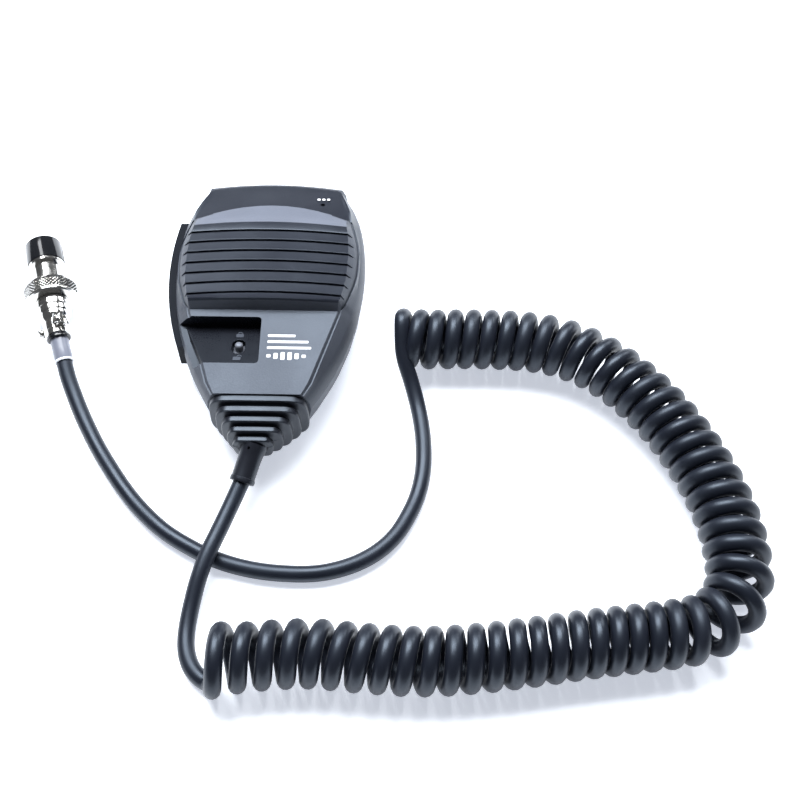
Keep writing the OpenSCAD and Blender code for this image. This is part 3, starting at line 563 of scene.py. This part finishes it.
class MICROPHONE_OT_front(bpy.types.Operator):
    """Build the louvred front of the case"""
    bl_idname = "microphone.front"
    bl_label = "Case front"

    def execute(self, context):
        sizes = context.scene.microphone_case
        rows, columns = face_rows(sizes), face_columns()
        bm = bmesh.new()
        lines = []
        for row in rows:
            right = [face_point(row, c) for c in columns]
            middle = face_point(row, ("across", 0.0, 0))
            left = [Vector((-p.x, p.y, p.z)) for p in right]
            lines.append([bm.verts.new(p) for p in left + [middle] + right[::-1]])
        for line in lines:
            for a, b in zip(line, line[1:]):
                bm.edges.new((a, b))
        for a, b in zip(lines, lines[1:]):
            strip = [bm.edges.get(pair) for line in (a, b) for pair in zip(line, line[1:])]
            bmesh.ops.bridge_loops(bm, edges=strip)
        self.drop(bm, lines[-1], [(0.9, 0.35, SKIRT_Z + 0.5), (0.35, 0.75, SKIRT_Z), (0.0, 0.9, PART_Z)])
        self.drop(bm, lines[0], [(0.0, 0.0, PART_Z)])
        self.wall_in(bm, sizes.wall / MM)
        depth = SLOT_FLOOR + 0.02
        for f in bm.faces:
            c = f.calc_center_median() / MM
            corners = [v.co / MM for v in f.verts]
            low = all(v.z < depth + 0.01 and v.z > SLOT_FLOOR - 0.02 for v in corners)
            drop = top_bow(min(abs(c.x), BOW_LIMIT))
            if low and -9 < c.y < 24 and abs(c.x) < 27.6:
                f.material_index = FRONT_FINISHES.index("cloth")
            elif c.z > 24 and c.y > 34.15 - 2.25 * drop:
                f.material_index = FRONT_FINISHES.index("band")
            # Grille faces go to the bars, and above them to the ramp, whose lighter finish is painted light.
            elif c.z > 27.3 and -9.6 < c.y < 34.3 and abs(c.x) < between_knots(EDGE, c.y) - 0.05:
                f.material_index = FRONT_FINISHES.index("bars" if c.y < 24.1 - 0.35 * drop else "ramp_painted_light")
        piece = new_piece("case_front", bm, FRONT_FINISHES, "microphone", ["front_shell"], 28)
        carve(piece, self.openings())
        piece.data.set_sharp_from_angle(angle=math.radians(28))
        soften(piece, 0.22, 2, 32)
        return {"FINISHED"}

    def drop(self, bm, line, steps):
        """Carries the outermost line of the face down the end of the case."""
        previous = line
        for pull, out, z in steps:
            fresh = []
            for v in line:
                x, y = v.co.x / MM, v.co.y / MM
                spot = v.co.copy()
                if pull or out:
                    y = TOP_Y - top_bow(x) - SKIRT_IN + (out / 0.9) * SKIRT_IN
                spot.y = y * MM
                spot.z = min(v.co.z, z * MM)
                fresh.append(bm.verts.new(spot))
            for a, b in zip(fresh, fresh[1:]):
                bm.edges.new((a, b))
            strip = [bm.edges.get(pair) for row in (previous, fresh) for pair in zip(row, row[1:])]
            bmesh.ops.bridge_loops(bm, edges=strip)
            previous = fresh

    def wall_in(self, bm, wall):
        """Closes the open rim with an inner wall and a plain ceiling."""
        bmesh.ops.remove_doubles(bm, verts=bm.verts, dist=NODE_WELD)
        rim = [e for e in bm.edges if e.is_boundary]
        made = bmesh.ops.extrude_edge_only(bm, edges=rim)["geom"]
        verts = [g for g in made if isinstance(g, bmesh.types.BMVert)]
        middle = Vector((0, 4 * MM, 0))
        for v in verts:
            away = Vector((v.co.x, v.co.y, 0)) - middle
            pull = Vector((max(-1, min(1, away.x / (26 * MM))), max(-1, min(1, away.y / (38 * MM))), 0))
            v.co -= Vector((pull.x * wall, pull.y * wall, 0)) * MM
        inner = [g for g in made if isinstance(g, bmesh.types.BMEdge) and g.is_boundary]
        made = bmesh.ops.extrude_edge_only(bm, edges=inner)["geom"]
        for v in [g for g in made if isinstance(g, bmesh.types.BMVert)]:
            v.co.z += 4.6 * MM
        ceiling = [g for g in made if isinstance(g, bmesh.types.BMEdge) and g.is_boundary]
        bmesh.ops.contextual_create(bm, geom=ceiling)

    def openings(self):
        """Room for the lock plate, the talk lever, the two keys, the sound port and the boot."""
        lock = bmesh.new()
        block(lock, (-40, -31.2, 22.6), (-0.4, -13.5, 40))
        corners = [e for e in lock.edges if all(abs(v.co.x + 0.4 * MM) < 1e-6 for v in e.verts)
            and abs(e.verts[0].co.z - e.verts[1].co.z) > 1e-3]
        round_off(lock, corners, 1.3, 4)
        well = bmesh.new()
        block(well, (-12.7, -28.4, 17.5), (-2.7, -18, 23))
        slot = bmesh.new()
        block(slot, (-40, -21.4, 10), (-29.6, 33.8, 20.8))
        hub = bmesh.new()
        block(hub, (-30.5, -22.6, 10), (-20.4, -14.4, 20.6))
        rod = bmesh.new()
        disc_prism(rod, (-31, 8, 17.8), 1.8, 14, Vector((1, 0, 0)))
        up, down, port, neck = bmesh.new(), bmesh.new(), bmesh.new(), bmesh.new()
        block(up, (-12.2, 39, 16), (-2.8, 52, 20.8))
        block(down, (2.8, 39, 16), (12.2, 52, 20.8))
        disc_prism(port, (17.3, 36.2, 20), 0.8, 20)
        disc_prism(neck, (0, -46, 14.5), 6.4, 6, Vector((0, 1, 0)), 48)
        shapes = {"lock_cut": lock, "well_cut": well, "slot_cut": slot, "hub_cut": hub, "rod_cut": rod,
            "up_cut": up, "down_cut": down, "port_cut": port, "neck_cut": neck}
        # The walls of the lock, switch well, lever slot, hub and rod cuts take the dark plastic: painted
        # shade in these recesses.
        for bm in (lock, well, slot, hub, rod):
            for f in bm.faces:
                f.material_index = FRONT_FINISHES.index("dark")
        return [loose(name, bm) for name, bm in shapes.items()]


def refined(node, name, finishes, body, width, segments=2, angle=30.0, flat=4.0):
    """A copy of a CAD node with its flats joined up and its edges rounded."""
    bm = bmesh.new()
    bm.from_mesh(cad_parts[node].data)
    bmesh.ops.remove_doubles(bm, verts=bm.verts, dist=NODE_WELD)
    bmesh.ops.dissolve_limit(bm, angle_limit=math.radians(flat), verts=bm.verts, edges=bm.edges)
    for f in bm.faces:
        f.material_index = 0
    piece = new_piece(name, bm, finishes, body, [node], 30)
    if width:
        soften(piece, width, segments, angle)
    return piece


class MICROPHONE_OT_back(bpy.types.Operator):
    """Build the back of the case and the hanger stud"""
    bl_idname = "microphone.back"
    bl_label = "Case back"

    def execute(self, context):
        refined("rear_shell", "case_back", ["case"], "microphone", 0.25, 2, 35)
        refined("hanger_stud", "hanger_button", ["turned"], "microphone", 0.15)
        return {"FINISHED"}


class MICROPHONE_OT_talk_lever(bpy.types.Operator):
    """Build the talk lever on the left side"""
    bl_idname = "microphone.talk_lever"
    bl_label = "Talk lever"

    def execute(self, context):
        refined("talk_lever", "talk_bar", ["lever"], "lever", 0.45, 3, 35, 1.0)
        return {"FINISHED"}


LOCK_AT, LOCK_LEAN = Vector((-7.7, -23.2, 24.462)) * MM, math.radians(-12)


class MICROPHONE_OT_lock(bpy.types.Operator):
    """Build the lock plate, its stud and the two padlock marks"""
    bl_idname = "microphone.lock"
    bl_label = "Lock"

    def execute(self, context):
        refined("lock_plate", "lock_cover", ["dark"], "microphone", 0.15, 2, 35)
        seat = Matrix.Translation(LOCK_AT) @ Matrix.Rotation(LOCK_LEAN, 4, "X")
        bm = bmesh.new()
        turned(bm, [(0, 0.35), (0.6, 0.33), (1.0, 0.2), (1.28, -0.1), (1.4, -0.5), (1.4, -3.2), (0, -3.2)],
            Vector((0, 1.0, 0)) * MM, UP, 40)
        block(bm, (-2.6, -1, -3.9), (2.6, 3, -2.5))
        bmesh.ops.transform(bm, matrix=seat, verts=bm.verts)
        new_piece("lock_stud", bm, ["stud"], "lock", ["lock_knob"], 40)
        marks = bmesh.new()
        for at, swing in ((5.4, 0.0), (-5.5, 0.75)):
            self.padlock(marks, at, swing)
        bmesh.ops.transform(marks, matrix=seat, verts=marks.verts)
        new_piece("lock_marks", marks, ["relief"], "microphone", (), 35)
        return {"FINISHED"}

    def padlock(self, bm, y, swing):
        """A raised padlock: a body, and a shackle moved aside where it is open."""
        body = block(bm, (-1.25, y - 1.05, -0.05), (1.25, y + 0.55, 0.14))
        round_off(bm, standing(body), 0.3, 3)
        foot = Matrix.Translation(Vector((0.75 + swing, y + 0.5, 0.04)) * MM)
        arc = bmesh.ops.create_circle(bm, segments=10, radius=0.17 * MM,
            matrix=foot @ Matrix.Rotation(math.pi / 2, 4, "X"))["verts"]
        bmesh.ops.spin(bm, geom=arc + edges_of(arc), cent=Vector((swing, y + 0.55, 0.04)) * MM,
            axis=(0, 0, 1), angle=math.pi, steps=14)


# ---------------------------------------------------------------- boot and cord

def chaikin(points, rounds):
    """Cuts a closed outline's corners."""
    for _ in range(rounds):
        nxt = points[1:] + points[:1]
        points = [q for a, b in zip(points, nxt) for q in (
            (a[0] * 0.75 + b[0] * 0.25, a[1] * 0.75 + b[1] * 0.25),
            (a[0] * 0.25 + b[0] * 0.75, a[1] * 0.25 + b[1] * 0.75))]
    return points


def boot_outline(k, pull):
    """Outline of the boot's ring k, pulled in by pull, as (x, z) in mm. k may be part way."""
    b = 16.2 - 2.38 * k - pull
    t = 25.4 - 1.1 * k - 0.1 * k * k - pull
    u = 4.6 + 0.8 * k + 0.1 * k * k + pull
    half = [(b * 0.5, u), (b * 0.84, u + 0.6), (b, u + 4.5), (b, 16.0), (b * 0.97, t - 3.0),
        (b * 0.8, t - 0.2), (b * 0.5, t + 0.02)]
    drift = -0.075 * k * k
    return [(x + drift, z) for x, z in chaikin(half + [(-x, z) for x, z in half[::-1]], 2)]


SLEEVE_A, SLEEVE_B = Vector((-1.2, -55.7, 14.4)) * MM, Vector((-4.2, -65.3, 10.6)) * MM


class MICROPHONE_OT_boot(bpy.types.Operator):
    """Build the ribbed rubber boot and its sleeve"""
    bl_idname = "microphone.boot"
    bl_label = "Ribbed boot"

    def execute(self, context):
        bm = bmesh.new()
        loops = []

        def add(k, pull, y):
            loops.append([Vector((x, y, z)) * MM for x, z in boot_outline(k, pull)])

        add(0, 1.9, -41.0)
        add(0, 0.0, -42.55)
        for k in range(5):
            start = -42.6 - 3.3 * k + 0.09 * k * k
            thick = 2.25 - 0.1 * k
            add(k, 0.55 if k else 0.3, start)
            add(k, 0.12, start - 0.1)
            add(k, 0.0, start - 0.32)
            add(k, 0.0, start - thick + 0.32)
            add(k, 0.12, start - thick + 0.1)
            add(k, 0.55, start - thick)
            if k < 4:
                add(k, 1.9, start - thick - 0.04)
                add(k + 0.5, 1.6, start - thick - 0.45)
                add(k + 0.95, 1.3, start - 3.2 + 0.09 * k)
        add(4.0, 1.9, -56.6)
        loft(bm, loops)
        ribs = new_piece("boot_ribs", bm, ["boot"], "microphone", ["cord_boot"], 50)
        ribs.modifiers.new("round", "WEIGHTED_NORMAL")
        run = (SLEEVE_B - SLEEVE_A)
        reach = run.length / MM
        bm = bmesh.new()
        turned(bm, [(2.75, -1.0), (4.6, -1.0), (4.35, 0.8), (4.0, 2.0), (3.85, 4.0), (3.78, reach - 1.2),
            (3.8, reach - 0.5), (4.05, reach - 0.3), (4.1, reach + 0.2), (4.1, reach + 0.85),
            (3.95, reach + 1.15), (3.5, reach + 1.25), (2.75, reach + 1.15)],
            SLEEVE_A, run.normalized(), 56, True)
        sleeve = new_piece("boot_sleeve", bm, ["boot"], "microphone", (), 40)
        dimple = bmesh.new()
        disc_prism(dimple, SLEEVE_A / MM + Vector((-0.9, -2.2, 2.4)), 0.42, 4, UP, 20)
        carve(sleeve, [loose("dimple", dimple, "boot")])
        sleeve.data.set_sharp_from_angle(angle=math.radians(40))
        return {"FINISHED"}


class MICROPHONE_OT_cord(bpy.types.Operator):
    """Lay the cord: the handset's lead, the curly part and the plug's lead, as one strand"""
    bl_idname = "microphone.cord"
    bl_label = "Curly cord"

    def execute(self, context):
        sizes = context.scene.microphone_cord
        radius = sizes.diameter / MM / 2
        coil = curly_line(radius, sizes.turns)
        line = smooth_line(LEAD + [tuple(p) for p in coil] + TAIL, 0.9)
        line = relax(line, 6)
        curve = bpy.data.curves.new("cord", "CURVE")
        curve.dimensions = "3D"
        curve.bevel_depth = sizes.diameter / 2
        curve.bevel_resolution = 5
        curve.use_fill_caps = True
        strand = curve.splines.new("POLY")
        strand.points.add(len(line) - 1)
        for point, place in zip(strand.points, line):
            point.co = (*(place * MM), 1.0)
        strand.use_smooth = True
        curve.materials.append(FINISHES["cord"])
        cord = bpy.data.objects.new("cord", curve)
        bpy.context.scene.collection.objects.link(cord)
        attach(cord, "microphone")
        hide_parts("lead_cord", "curly_cord", "plug_cord")
        length = sum((b - a).length for a, b in zip(line, line[1:])) * MM
        return {"FINISHED"}


# ---------------------------------------------------------------- plug, stations in mm along its axis

PLUG_AT = Vector((-78.3, 7, 9.5)) * MM
PLUG_YAW = math.radians(17)
INSERT_S, BARREL_L, BARREL_R, COLLAR_R, BODY_R, NUT_R, NUT_L = 14.1, 9.5, 6.6, 5.1, 6.1, 9.5, 6.4
SADDLE_S, SADDLE_ROLL, SCREW_X = -14.4, math.radians(-45), (-4.6, 4.6)


def on_plug():
    """The plug's own axes: X across, Y down, Z along it, as the CAD has them."""
    turn = Matrix.Rotation(PLUG_YAW, 4, "Z") @ Matrix.Rotation(-math.pi / 2, 4, "X")
    return Matrix.Translation(PLUG_AT) @ turn


class MICROPHONE_OT_plug(bpy.types.Operator):
    """Build the round plug: barrel, body, knurled coupling nut, tail and saddle"""
    bl_idname = "microphone.plug"
    bl_label = "Plug"

    def execute(self, context):
        self.barrel()
        self.shell()
        self.nut(context.scene.microphone_plug.knurls)
        self.rear()
        self.tubes()
        return {"FINISHED"}

    def place(self, bm, name, finishes, slot, replaces, smooth=35.0, body="microphone"):
        bmesh.ops.transform(bm, matrix=on_plug(), verts=bm.verts)
        return new_piece(name, bm, finishes, body, replaces, smooth)

    def roll(self, bm):
        """Turns the saddle's side of the tail about the plug's axis."""
        bmesh.ops.rotate(bm, cent=(0, 0, 0), matrix=Matrix.Rotation(SADDLE_ROLL, 3, "Z"), verts=bm.verts)

    def barrel(self):
        bm = bmesh.new()
        a, b = INSERT_S, INSERT_S + BARREL_L
        turned(bm, [(4.0, a - 6), (4.0, a), (BARREL_R - 0.25, a), (BARREL_R, a + 0.25), (BARREL_R, b - 0.45),
            (BARREL_R - 0.12, b - 0.15), (BARREL_R - 0.5, b), (5.75, b), (5.6, b - 0.25), (0, b - 0.25)],
            Vector(), UP, 96)
        piece = self.place(bm, "plug_barrel", ["plug_black"], "plug_black", ["plug_insert"])
        cutter = bmesh.new()
        for i in range(8):
            turn = i * 2 * math.pi / 7
            spot = (4.1 * math.cos(turn), 4.1 * math.sin(turn)) if i < 7 else (0, 0)
            disc_prism(cutter, (*spot, b - 6), 0.75, 8, UP, 24)
        block(cutter, (BARREL_R - 0.6, -1, a - 1), (BARREL_R + 2, 1, b + 1))
        bmesh.ops.transform(cutter, matrix=on_plug(), verts=cutter.verts)
        carve(piece, [loose("contact_cut", cutter, "plug_black")])
        piece.data.set_sharp_from_angle(angle=math.radians(30))

    def shell(self):
        bm = bmesh.new()
        a = INSERT_S
        turned(bm, [(4.1, -8.6), (5.2, -8.7), (5.5, -8.4), (5.8, -6.75), (5.75, -6.5), (6.0, -6.45),
            (BODY_R, -6.2), (BODY_R, -3.55), (BODY_R - 0.2, -3.25), (COLLAR_R, -3.2), (COLLAR_R, a - 1.15),
            (BARREL_R - 0.35, a - 1.1), (BARREL_R - 0.2, a - 0.95), (BARREL_R - 0.2, a - 0.12),
            (BARREL_R - 0.35, a), (4.1, a)], Vector(), UP, 96, True)
        self.place(bm, "plug_shell", ["chrome"], "plug_chrome", ["plug_body"], 30)
        bm = bmesh.new()
        disc_prism(bm, (0, -BODY_R + 0.25, -4.9), 0.85, 1.2, Vector((0, 1, 0)), 24)
        self.place(bm, "shell_screw", ["screw"], "steel", ["body_screw"])

    def nut(self, knurls):
        """Coupling nut, its grip pressed into small diamonds."""
        bm = bmesh.new()
        h = NUT_L / 2
        low, high, rows = -h + 0.95, h - 0.85, 14
        grip = [(NUT_R - 0.22, low + (high - low) * i / rows) for i in range(rows + 1)]
        front = [(5.2, -h + 0.1), (NUT_R - 0.9, -h + 0.1), (NUT_R - 0.35, -h + 0.45),
            (NUT_R - 0.25, low - 0.15)]
        rear = [(NUT_R - 0.25, high + 0.15), (NUT_R - 0.3, h - 0.4), (NUT_R - 0.6, h), (7.6, h),
            (7.6, -h + 1.5), (5.2, -h + 1.5)]
        turned(bm, front + grip + rear, Vector(), UP, knurls * 4, True)
        for v in bm.verts:
            reach = Vector((v.co.x, v.co.y)).length / MM
            s = v.co.z / MM
            if abs(reach - NUT_R + 0.22) < 0.02 and low - 0.01 < s < high + 0.01:
                column = round(math.atan2(v.co.y, v.co.x) / (2 * math.pi) * knurls * 4)
                row = round((s - low) / (high - low) * rows)
                peak = ((column + row) % 4 == 0) + ((column - row) % 4 == 0)
                lift = 1 + (0.22, -0.03, -0.3)[2 - peak] / reach if 0 < row < rows else 1
                v.co.x *= lift
                v.co.y *= lift
        self.place(bm, "nut_ring", ["chrome"], "plug_chrome", ["coupling_nut"], 22, "nut")

    def rear(self):
        bm = bmesh.new()
        turned(bm, [(3.2, -18.2), (3.9, -18.2), (4.1, -18.0), (4.1, -12.2), (4.35, -11.6), (4.9, -10.6),
            (5.15, -9.2), (5.15, -8.8), (3.2, -8.8)], Vector(), UP, 72, True)
        lug = block(bm, (-6.2, -1.2, SADDLE_S - 2), (6.2, 0.8, SADDLE_S + 2))
        round_off(bm, edges_of(lug), 0.3, 2)
        self.roll(bm)
        self.place(bm, "plug_rear", ["chrome"], "plug_chrome", ["plug_tail"])
        refined("cable_saddle", "saddle_bar", ["chrome"], "microphone", 0.22, 2, 30)
        bm = bmesh.new()
        for x in SCREW_X:
            disc = disc_prism(bm, (x, -4.1, 0), 1.55, 1.3, Vector((0, 1, 0)), 28)
            edges = [e for e in edges_of(disc) if e.calc_length() < 0.5 * MM
                and max(v.co.y for v in e.verts) < -3.9 * MM]
            round_off(bm, edges, 0.35, 3)
            disc_prism(bm, (x, -3.0, 0), 0.8, 3.6, Vector((0, 1, 0)), 20)
        bmesh.ops.transform(bm, matrix=Matrix.Translation((0, 0, SADDLE_S * MM)), verts=bm.verts)
        self.roll(bm)
        piece = self.place(bm, "saddle_heads", ["chrome"], "plug_chrome", ["saddle_screws"])
        cutter = bmesh.new()
        for x in SCREW_X:
            slots = block(cutter, (x - 1.8, -4.6, -0.22), (x + 1.8, -3.7, 0.22))
            aside = Matrix.Rotation(math.radians(25 * x), 3, "Y")
            bmesh.ops.rotate(cutter, cent=(x * MM, 0, 0), matrix=aside, verts=slots)
        bmesh.ops.transform(cutter, matrix=Matrix.Translation((0, 0, SADDLE_S * MM)), verts=cutter.verts)
        self.roll(cutter)
        bmesh.ops.transform(cutter, matrix=on_plug(), verts=cutter.verts)
        carve(piece, [loose("slot_cut", cutter, "chrome")])

    def tubes(self):
        end, before = Vector(TAIL[-1]) * MM, Vector(TAIL[-2]) * MM
        back = (before - end).normalized()
        bm = bmesh.new()
        turned(bm, [(2.72, -0.9), (3.12, -0.9), (3.14, 0.5), (3.1, 2.2), (3.05, 5.0), (3.08, 8.3),
            (3.02, 8.55), (2.72, 8.6)], end, back, 48, True)
        collar = bmesh.new()
        turned(collar, [(3.0, -0.3), (3.95, -0.3), (4.15, 0.0), (4.15, 0.55), (3.9, 0.85), (3.5, 0.9),
            (3.0, 0.9)], end, back, 56, True)
        new_piece("tail_collar", collar, ["plug_black"], "microphone", (), 35)
        new_piece("tail_tube", bm, ["sleeve"], "microphone", ["plug_sleeve"], 35)
        bm = bmesh.new()
        turned(bm, [(2.72, 8.7), (3.12, 8.7), (3.2, 8.8), (3.2, 9.4), (3.12, 9.5), (2.72, 9.5)], end, back,
            48, True)
        new_piece("tail_ring", bm, ["white"], "microphone", ["sleeve_band"], 35)


class MICROPHONE_OT_print(bpy.types.Operator):
    """Lay the plain white marks on the face"""
    bl_idname = "microphone.print"
    bl_label = "White marks"

    def execute(self, context):
        bm = bmesh.new()
        tilt = math.atan2(2.0, 31.2)
        seat = Matrix.Translation(Vector((0, PANEL_Y, 28.0)) * MM) @ Matrix.Rotation(tilt, 4, "X")
        for y, x1, high in ((-9.4, 11.2, 0.95), (-11.7, 15.6, 0.95), (-14.0, 16.6, 0.95)):
            self.stripe(bm, 2.1, x1, y, high)
        for i, tall in enumerate((1.2, 2.2, 2.9, 2.9, 2.2, 1.2)):
            self.stripe(bm, 2.1 + i * 2.3, 3.5 + i * 2.3, -17.1, tall)
        bmesh.ops.transform(bm, matrix=seat, verts=bm.verts)
        mark = bmesh.new()
        for i in range(3):
            self.stripe(mark, 15.2 + i * 1.7, 16.3 + i * 1.7, 39.0, 1.2)
        back = Matrix.Translation(Vector((0, -BAND_Y + 0.4, 0)) * MM)
        fall = Matrix.Rotation(-math.atan2(3.6, 12.1), 4, "X")
        rise = Matrix.Translation(Vector((0, BAND_Y, 27.9)) * MM)
        bmesh.ops.transform(mark, matrix=rise @ fall @ back, verts=mark.verts)
        spare = bpy.data.meshes.new("spare")
        mark.to_mesh(spare)
        mark.free()
        bm.from_mesh(spare)
        bpy.data.meshes.remove(spare)
        new_piece("white_marks", bm, ["print"], "microphone", (), 0)
        return {"FINISHED"}

    def stripe(self, bm, x0, x1, y, high):
        bar = block(bm, (x0, y - high / 2, -0.05), (x1, y + high / 2, 0.04))
        round_off(bm, standing(bar), min(0.3, high * 0.3), 2)


NODE_FINISHES = {
    "dust_screen": "cloth", "lock_switch": "dark", "lever_pin": "turned", "lever_spring": "screw",
    "talk_switch": "dark", "talk_plunger": "red", "up_key": "dark", "down_key": "dark",
    "key_switches": "light",
    "main_board": "board", "board_screws": "screw", "board_parts": "plug_black", "wire_header": "light",
    "mic_capsule": "capsule", "capsule_holder": "boot", "case_screws": "screw", "stud_screw": "screw",
    "cord_clamp": "turned", "clamp_screws": "screw", "inner_cord": "cord", "inner_wires": "wires",
    "plug_contacts": "gilt", "coupling_washer": "turned",
}


class MICROPHONE_OT_insides(bpy.types.Operator):
    """Give the parts inside the case and the plug their finishes"""
    bl_idname = "microphone.insides"
    bl_label = "Inner parts"

    def execute(self, context):
        for name, finish in NODE_FINISHES.items():
            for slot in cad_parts[name].material_slots:
                slot.material = FINISHES[finish]
        return {"FINISHED"}


# ---------------------------------------------------------------- stage

class MICROPHONE_OT_stage(bpy.types.Operator):
    """Set the floor, the lights and the camera"""
    bl_idname = "microphone.stage"
    bl_label = "Stage"

    def execute(self, context):
        stage = context.scene.microphone_stage
        scene = context.scene
        bm = bmesh.new()
        bmesh.ops.create_grid(bm, x_segments=2, y_segments=2, size=3.0)
        bmesh.ops.translate(bm, verts=bm.verts, vec=(0, 0, -0.00005))
        mesh = bpy.data.meshes.new("floor")
        bm.to_mesh(mesh)
        bm.free()
        floor = bpy.data.objects.new("floor", mesh)
        scene.collection.objects.link(floor)
        g = Graph("floor")
        mesh.materials.append(g.finish(Base_Color=(0.9, 0.92, 0.95, 1), Roughness=0.6,
            Emission_Color=(0.84, 0.89, 1.0, 1), Emission_Strength=stage.glow))
        world = bpy.data.worlds.new("room")
        scene.world = world
        world.use_nodes = True
        back = world.node_tree.nodes["Background"]
        back.inputs["Color"].default_value = (0.93, 0.95, 1.0, 1)
        back.inputs["Strength"].default_value = stage.room
        self.lamp("back_box", (0.8, 0.9, 0.6), (0.0, 0.0, 0.0), (0.5, 0.5), stage.back)
        self.lamp("top_box", (-0.1, 0.5, 1.12), (0.0, -0.04, 0.0), (1.15, 0.62), stage.top)
        self.lamp("side_box", (-0.58, 1.02, 1.12), (-0.08, 0.0, 0.0), (0.36, 0.84), stage.side)
        eye = bpy.data.cameras.new("camera")
        eye.lens = stage.lens
        eye.sensor_width = 36
        camera = bpy.data.objects.new("camera", eye)
        scene.collection.objects.link(camera)
        camera.location = Vector((49.6, -250.4, 356.3)) * MM
        camera.rotation_euler = (math.radians(32), 0, math.radians(1))
        eye.clip_start = 0.01
        scene.camera = camera
        scene.view_settings.view_transform = "Standard"
        return {"FINISHED"}

    def lamp(self, name, place, aim, size, power):
        light = bpy.data.lights.new(name, "AREA")
        light.shape = "RECTANGLE"
        light.size, light.size_y = size
        light.energy = power
        light.color = (0.95, 0.975, 1.0)
        lamp = bpy.data.objects.new(name, light)
        bpy.context.scene.collection.objects.link(lamp)
        lamp.location = place
        lamp.rotation_euler = (Vector(aim) - Vector(place)).to_track_quat("-Z", "Y").to_euler()


# ---------------------------------------------------------------- settings and panel

def colour(name, words, value):
    return bpy.props.FloatVectorProperty(name=name, description=words, subtype="COLOR", size=3, default=value,
        min=0.0, max=1.0)


def distance(name, words, value):
    return bpy.props.FloatProperty(name=name, description=words, default=value, min=0.0, unit="LENGTH")


def whole(name, words, value, low, high):
    return bpy.props.IntProperty(name=name, description=words, default=value, min=low, max=high)


def amount(name, words, value, unit="NONE"):
    return bpy.props.FloatProperty(name=name, description=words, default=value, min=0.0, unit=unit)


class MicrophoneTones(bpy.types.PropertyGroup):
    case: colour("Case", "Colour of the textured case", (0.05, 0.055, 0.07))
    band: colour("Band and bars", "Colour of the smooth band and the louvre bars", (0.016, 0.018, 0.026))
    dark: colour("Dark plastic", "Colour of the lock cover, talk lever and keys", (0.008, 0.009, 0.013))
    boot: colour("Boot", "Colour of the rubber boot", (0.012, 0.013, 0.018))
    cord: colour("Cord", "Colour of the cord's jacket", (0.009, 0.011, 0.018))
    chrome: colour("Chrome", "Colour of the plug's plating", (0.82, 0.81, 0.78))


class MicrophoneCase(bpy.types.PropertyGroup):
    slots: whole("Slots", "Number of slots between the louvre bars", 7, 3, 7)
    slot_width: distance("Slot width", "Width of each slot", 0.0012)
    wall: distance("Wall", "Thickness of the case wall", 0.002)


class MicrophoneCord(bpy.types.PropertyGroup):
    turns: whole("Turns", "Turns in the curly part", 50, 20, 52)
    diameter: distance("Diameter", "Diameter of the cord", 0.0054)


class MicrophonePlug(bpy.types.PropertyGroup):
    knurls: whole("Knurls", "Diamonds around the coupling nut", 44, 20, 60)


class MicrophoneStage(bpy.types.PropertyGroup):
    room: amount("Room light", "Strength of the even light", 0.1)
    back: amount("Back light", "Power of the box behind", 5.0, "POWER")
    top: amount("Top light", "Power of the box above", 35.0, "POWER")
    side: amount("Side light", "Power of the box over the plug", 8.0, "POWER")
    glow: amount("Floor glow", "Light given off by the floor", 0.6)
    lens: amount("Lens", "Focal length in millimetres", 54.83)


OPERATORS = (MICROPHONE_OT_stage, MICROPHONE_OT_plug, MICROPHONE_OT_cord, MICROPHONE_OT_boot,
    MICROPHONE_OT_front, MICROPHONE_OT_back, MICROPHONE_OT_talk_lever, MICROPHONE_OT_lock,
    MICROPHONE_OT_print, MICROPHONE_OT_insides)
GROUPS = {"microphone_tones": MicrophoneTones, "microphone_case": MicrophoneCase,
    "microphone_cord": MicrophoneCord, "microphone_plug": MicrophonePlug, "microphone_stage": MicrophoneStage}


class MICROPHONE_PT_panel(bpy.types.Panel):
    """Sizes, colours and steps of the hand microphone"""
    bl_idname = "MICROPHONE_PT_panel"
    bl_label = "Hand microphone"
    bl_space_type = "VIEW_3D"
    bl_region_type = "UI"
    bl_category = "Microphone"

    def draw(self, context):
        for group in GROUPS:
            box = self.layout.box()
            settings = getattr(context.scene, group)
            for key in settings.__annotations__:
                box.prop(settings, key)
        for step in OPERATORS:
            self.layout.operator(step.bl_idname)


def register():
    for kind in (*GROUPS.values(), *OPERATORS, MICROPHONE_PT_panel):
        bpy.utils.register_class(kind)
    for name, kind in GROUPS.items():
        setattr(bpy.types.Scene, name, bpy.props.PointerProperty(type=kind))


def unregister():
    for name in GROUPS:
        delattr(bpy.types.Scene, name)
    for kind in reversed((*GROUPS.values(), *OPERATORS, MICROPHONE_PT_panel)):
        bpy.utils.unregister_class(kind)


def main():
    register()
    make_finishes(bpy.context.scene.microphone_tones)
    for step in OPERATORS:
        getattr(bpy.ops.microphone, step.bl_idname.split(".")[1])()


if __name__ == "__main__":
    main()
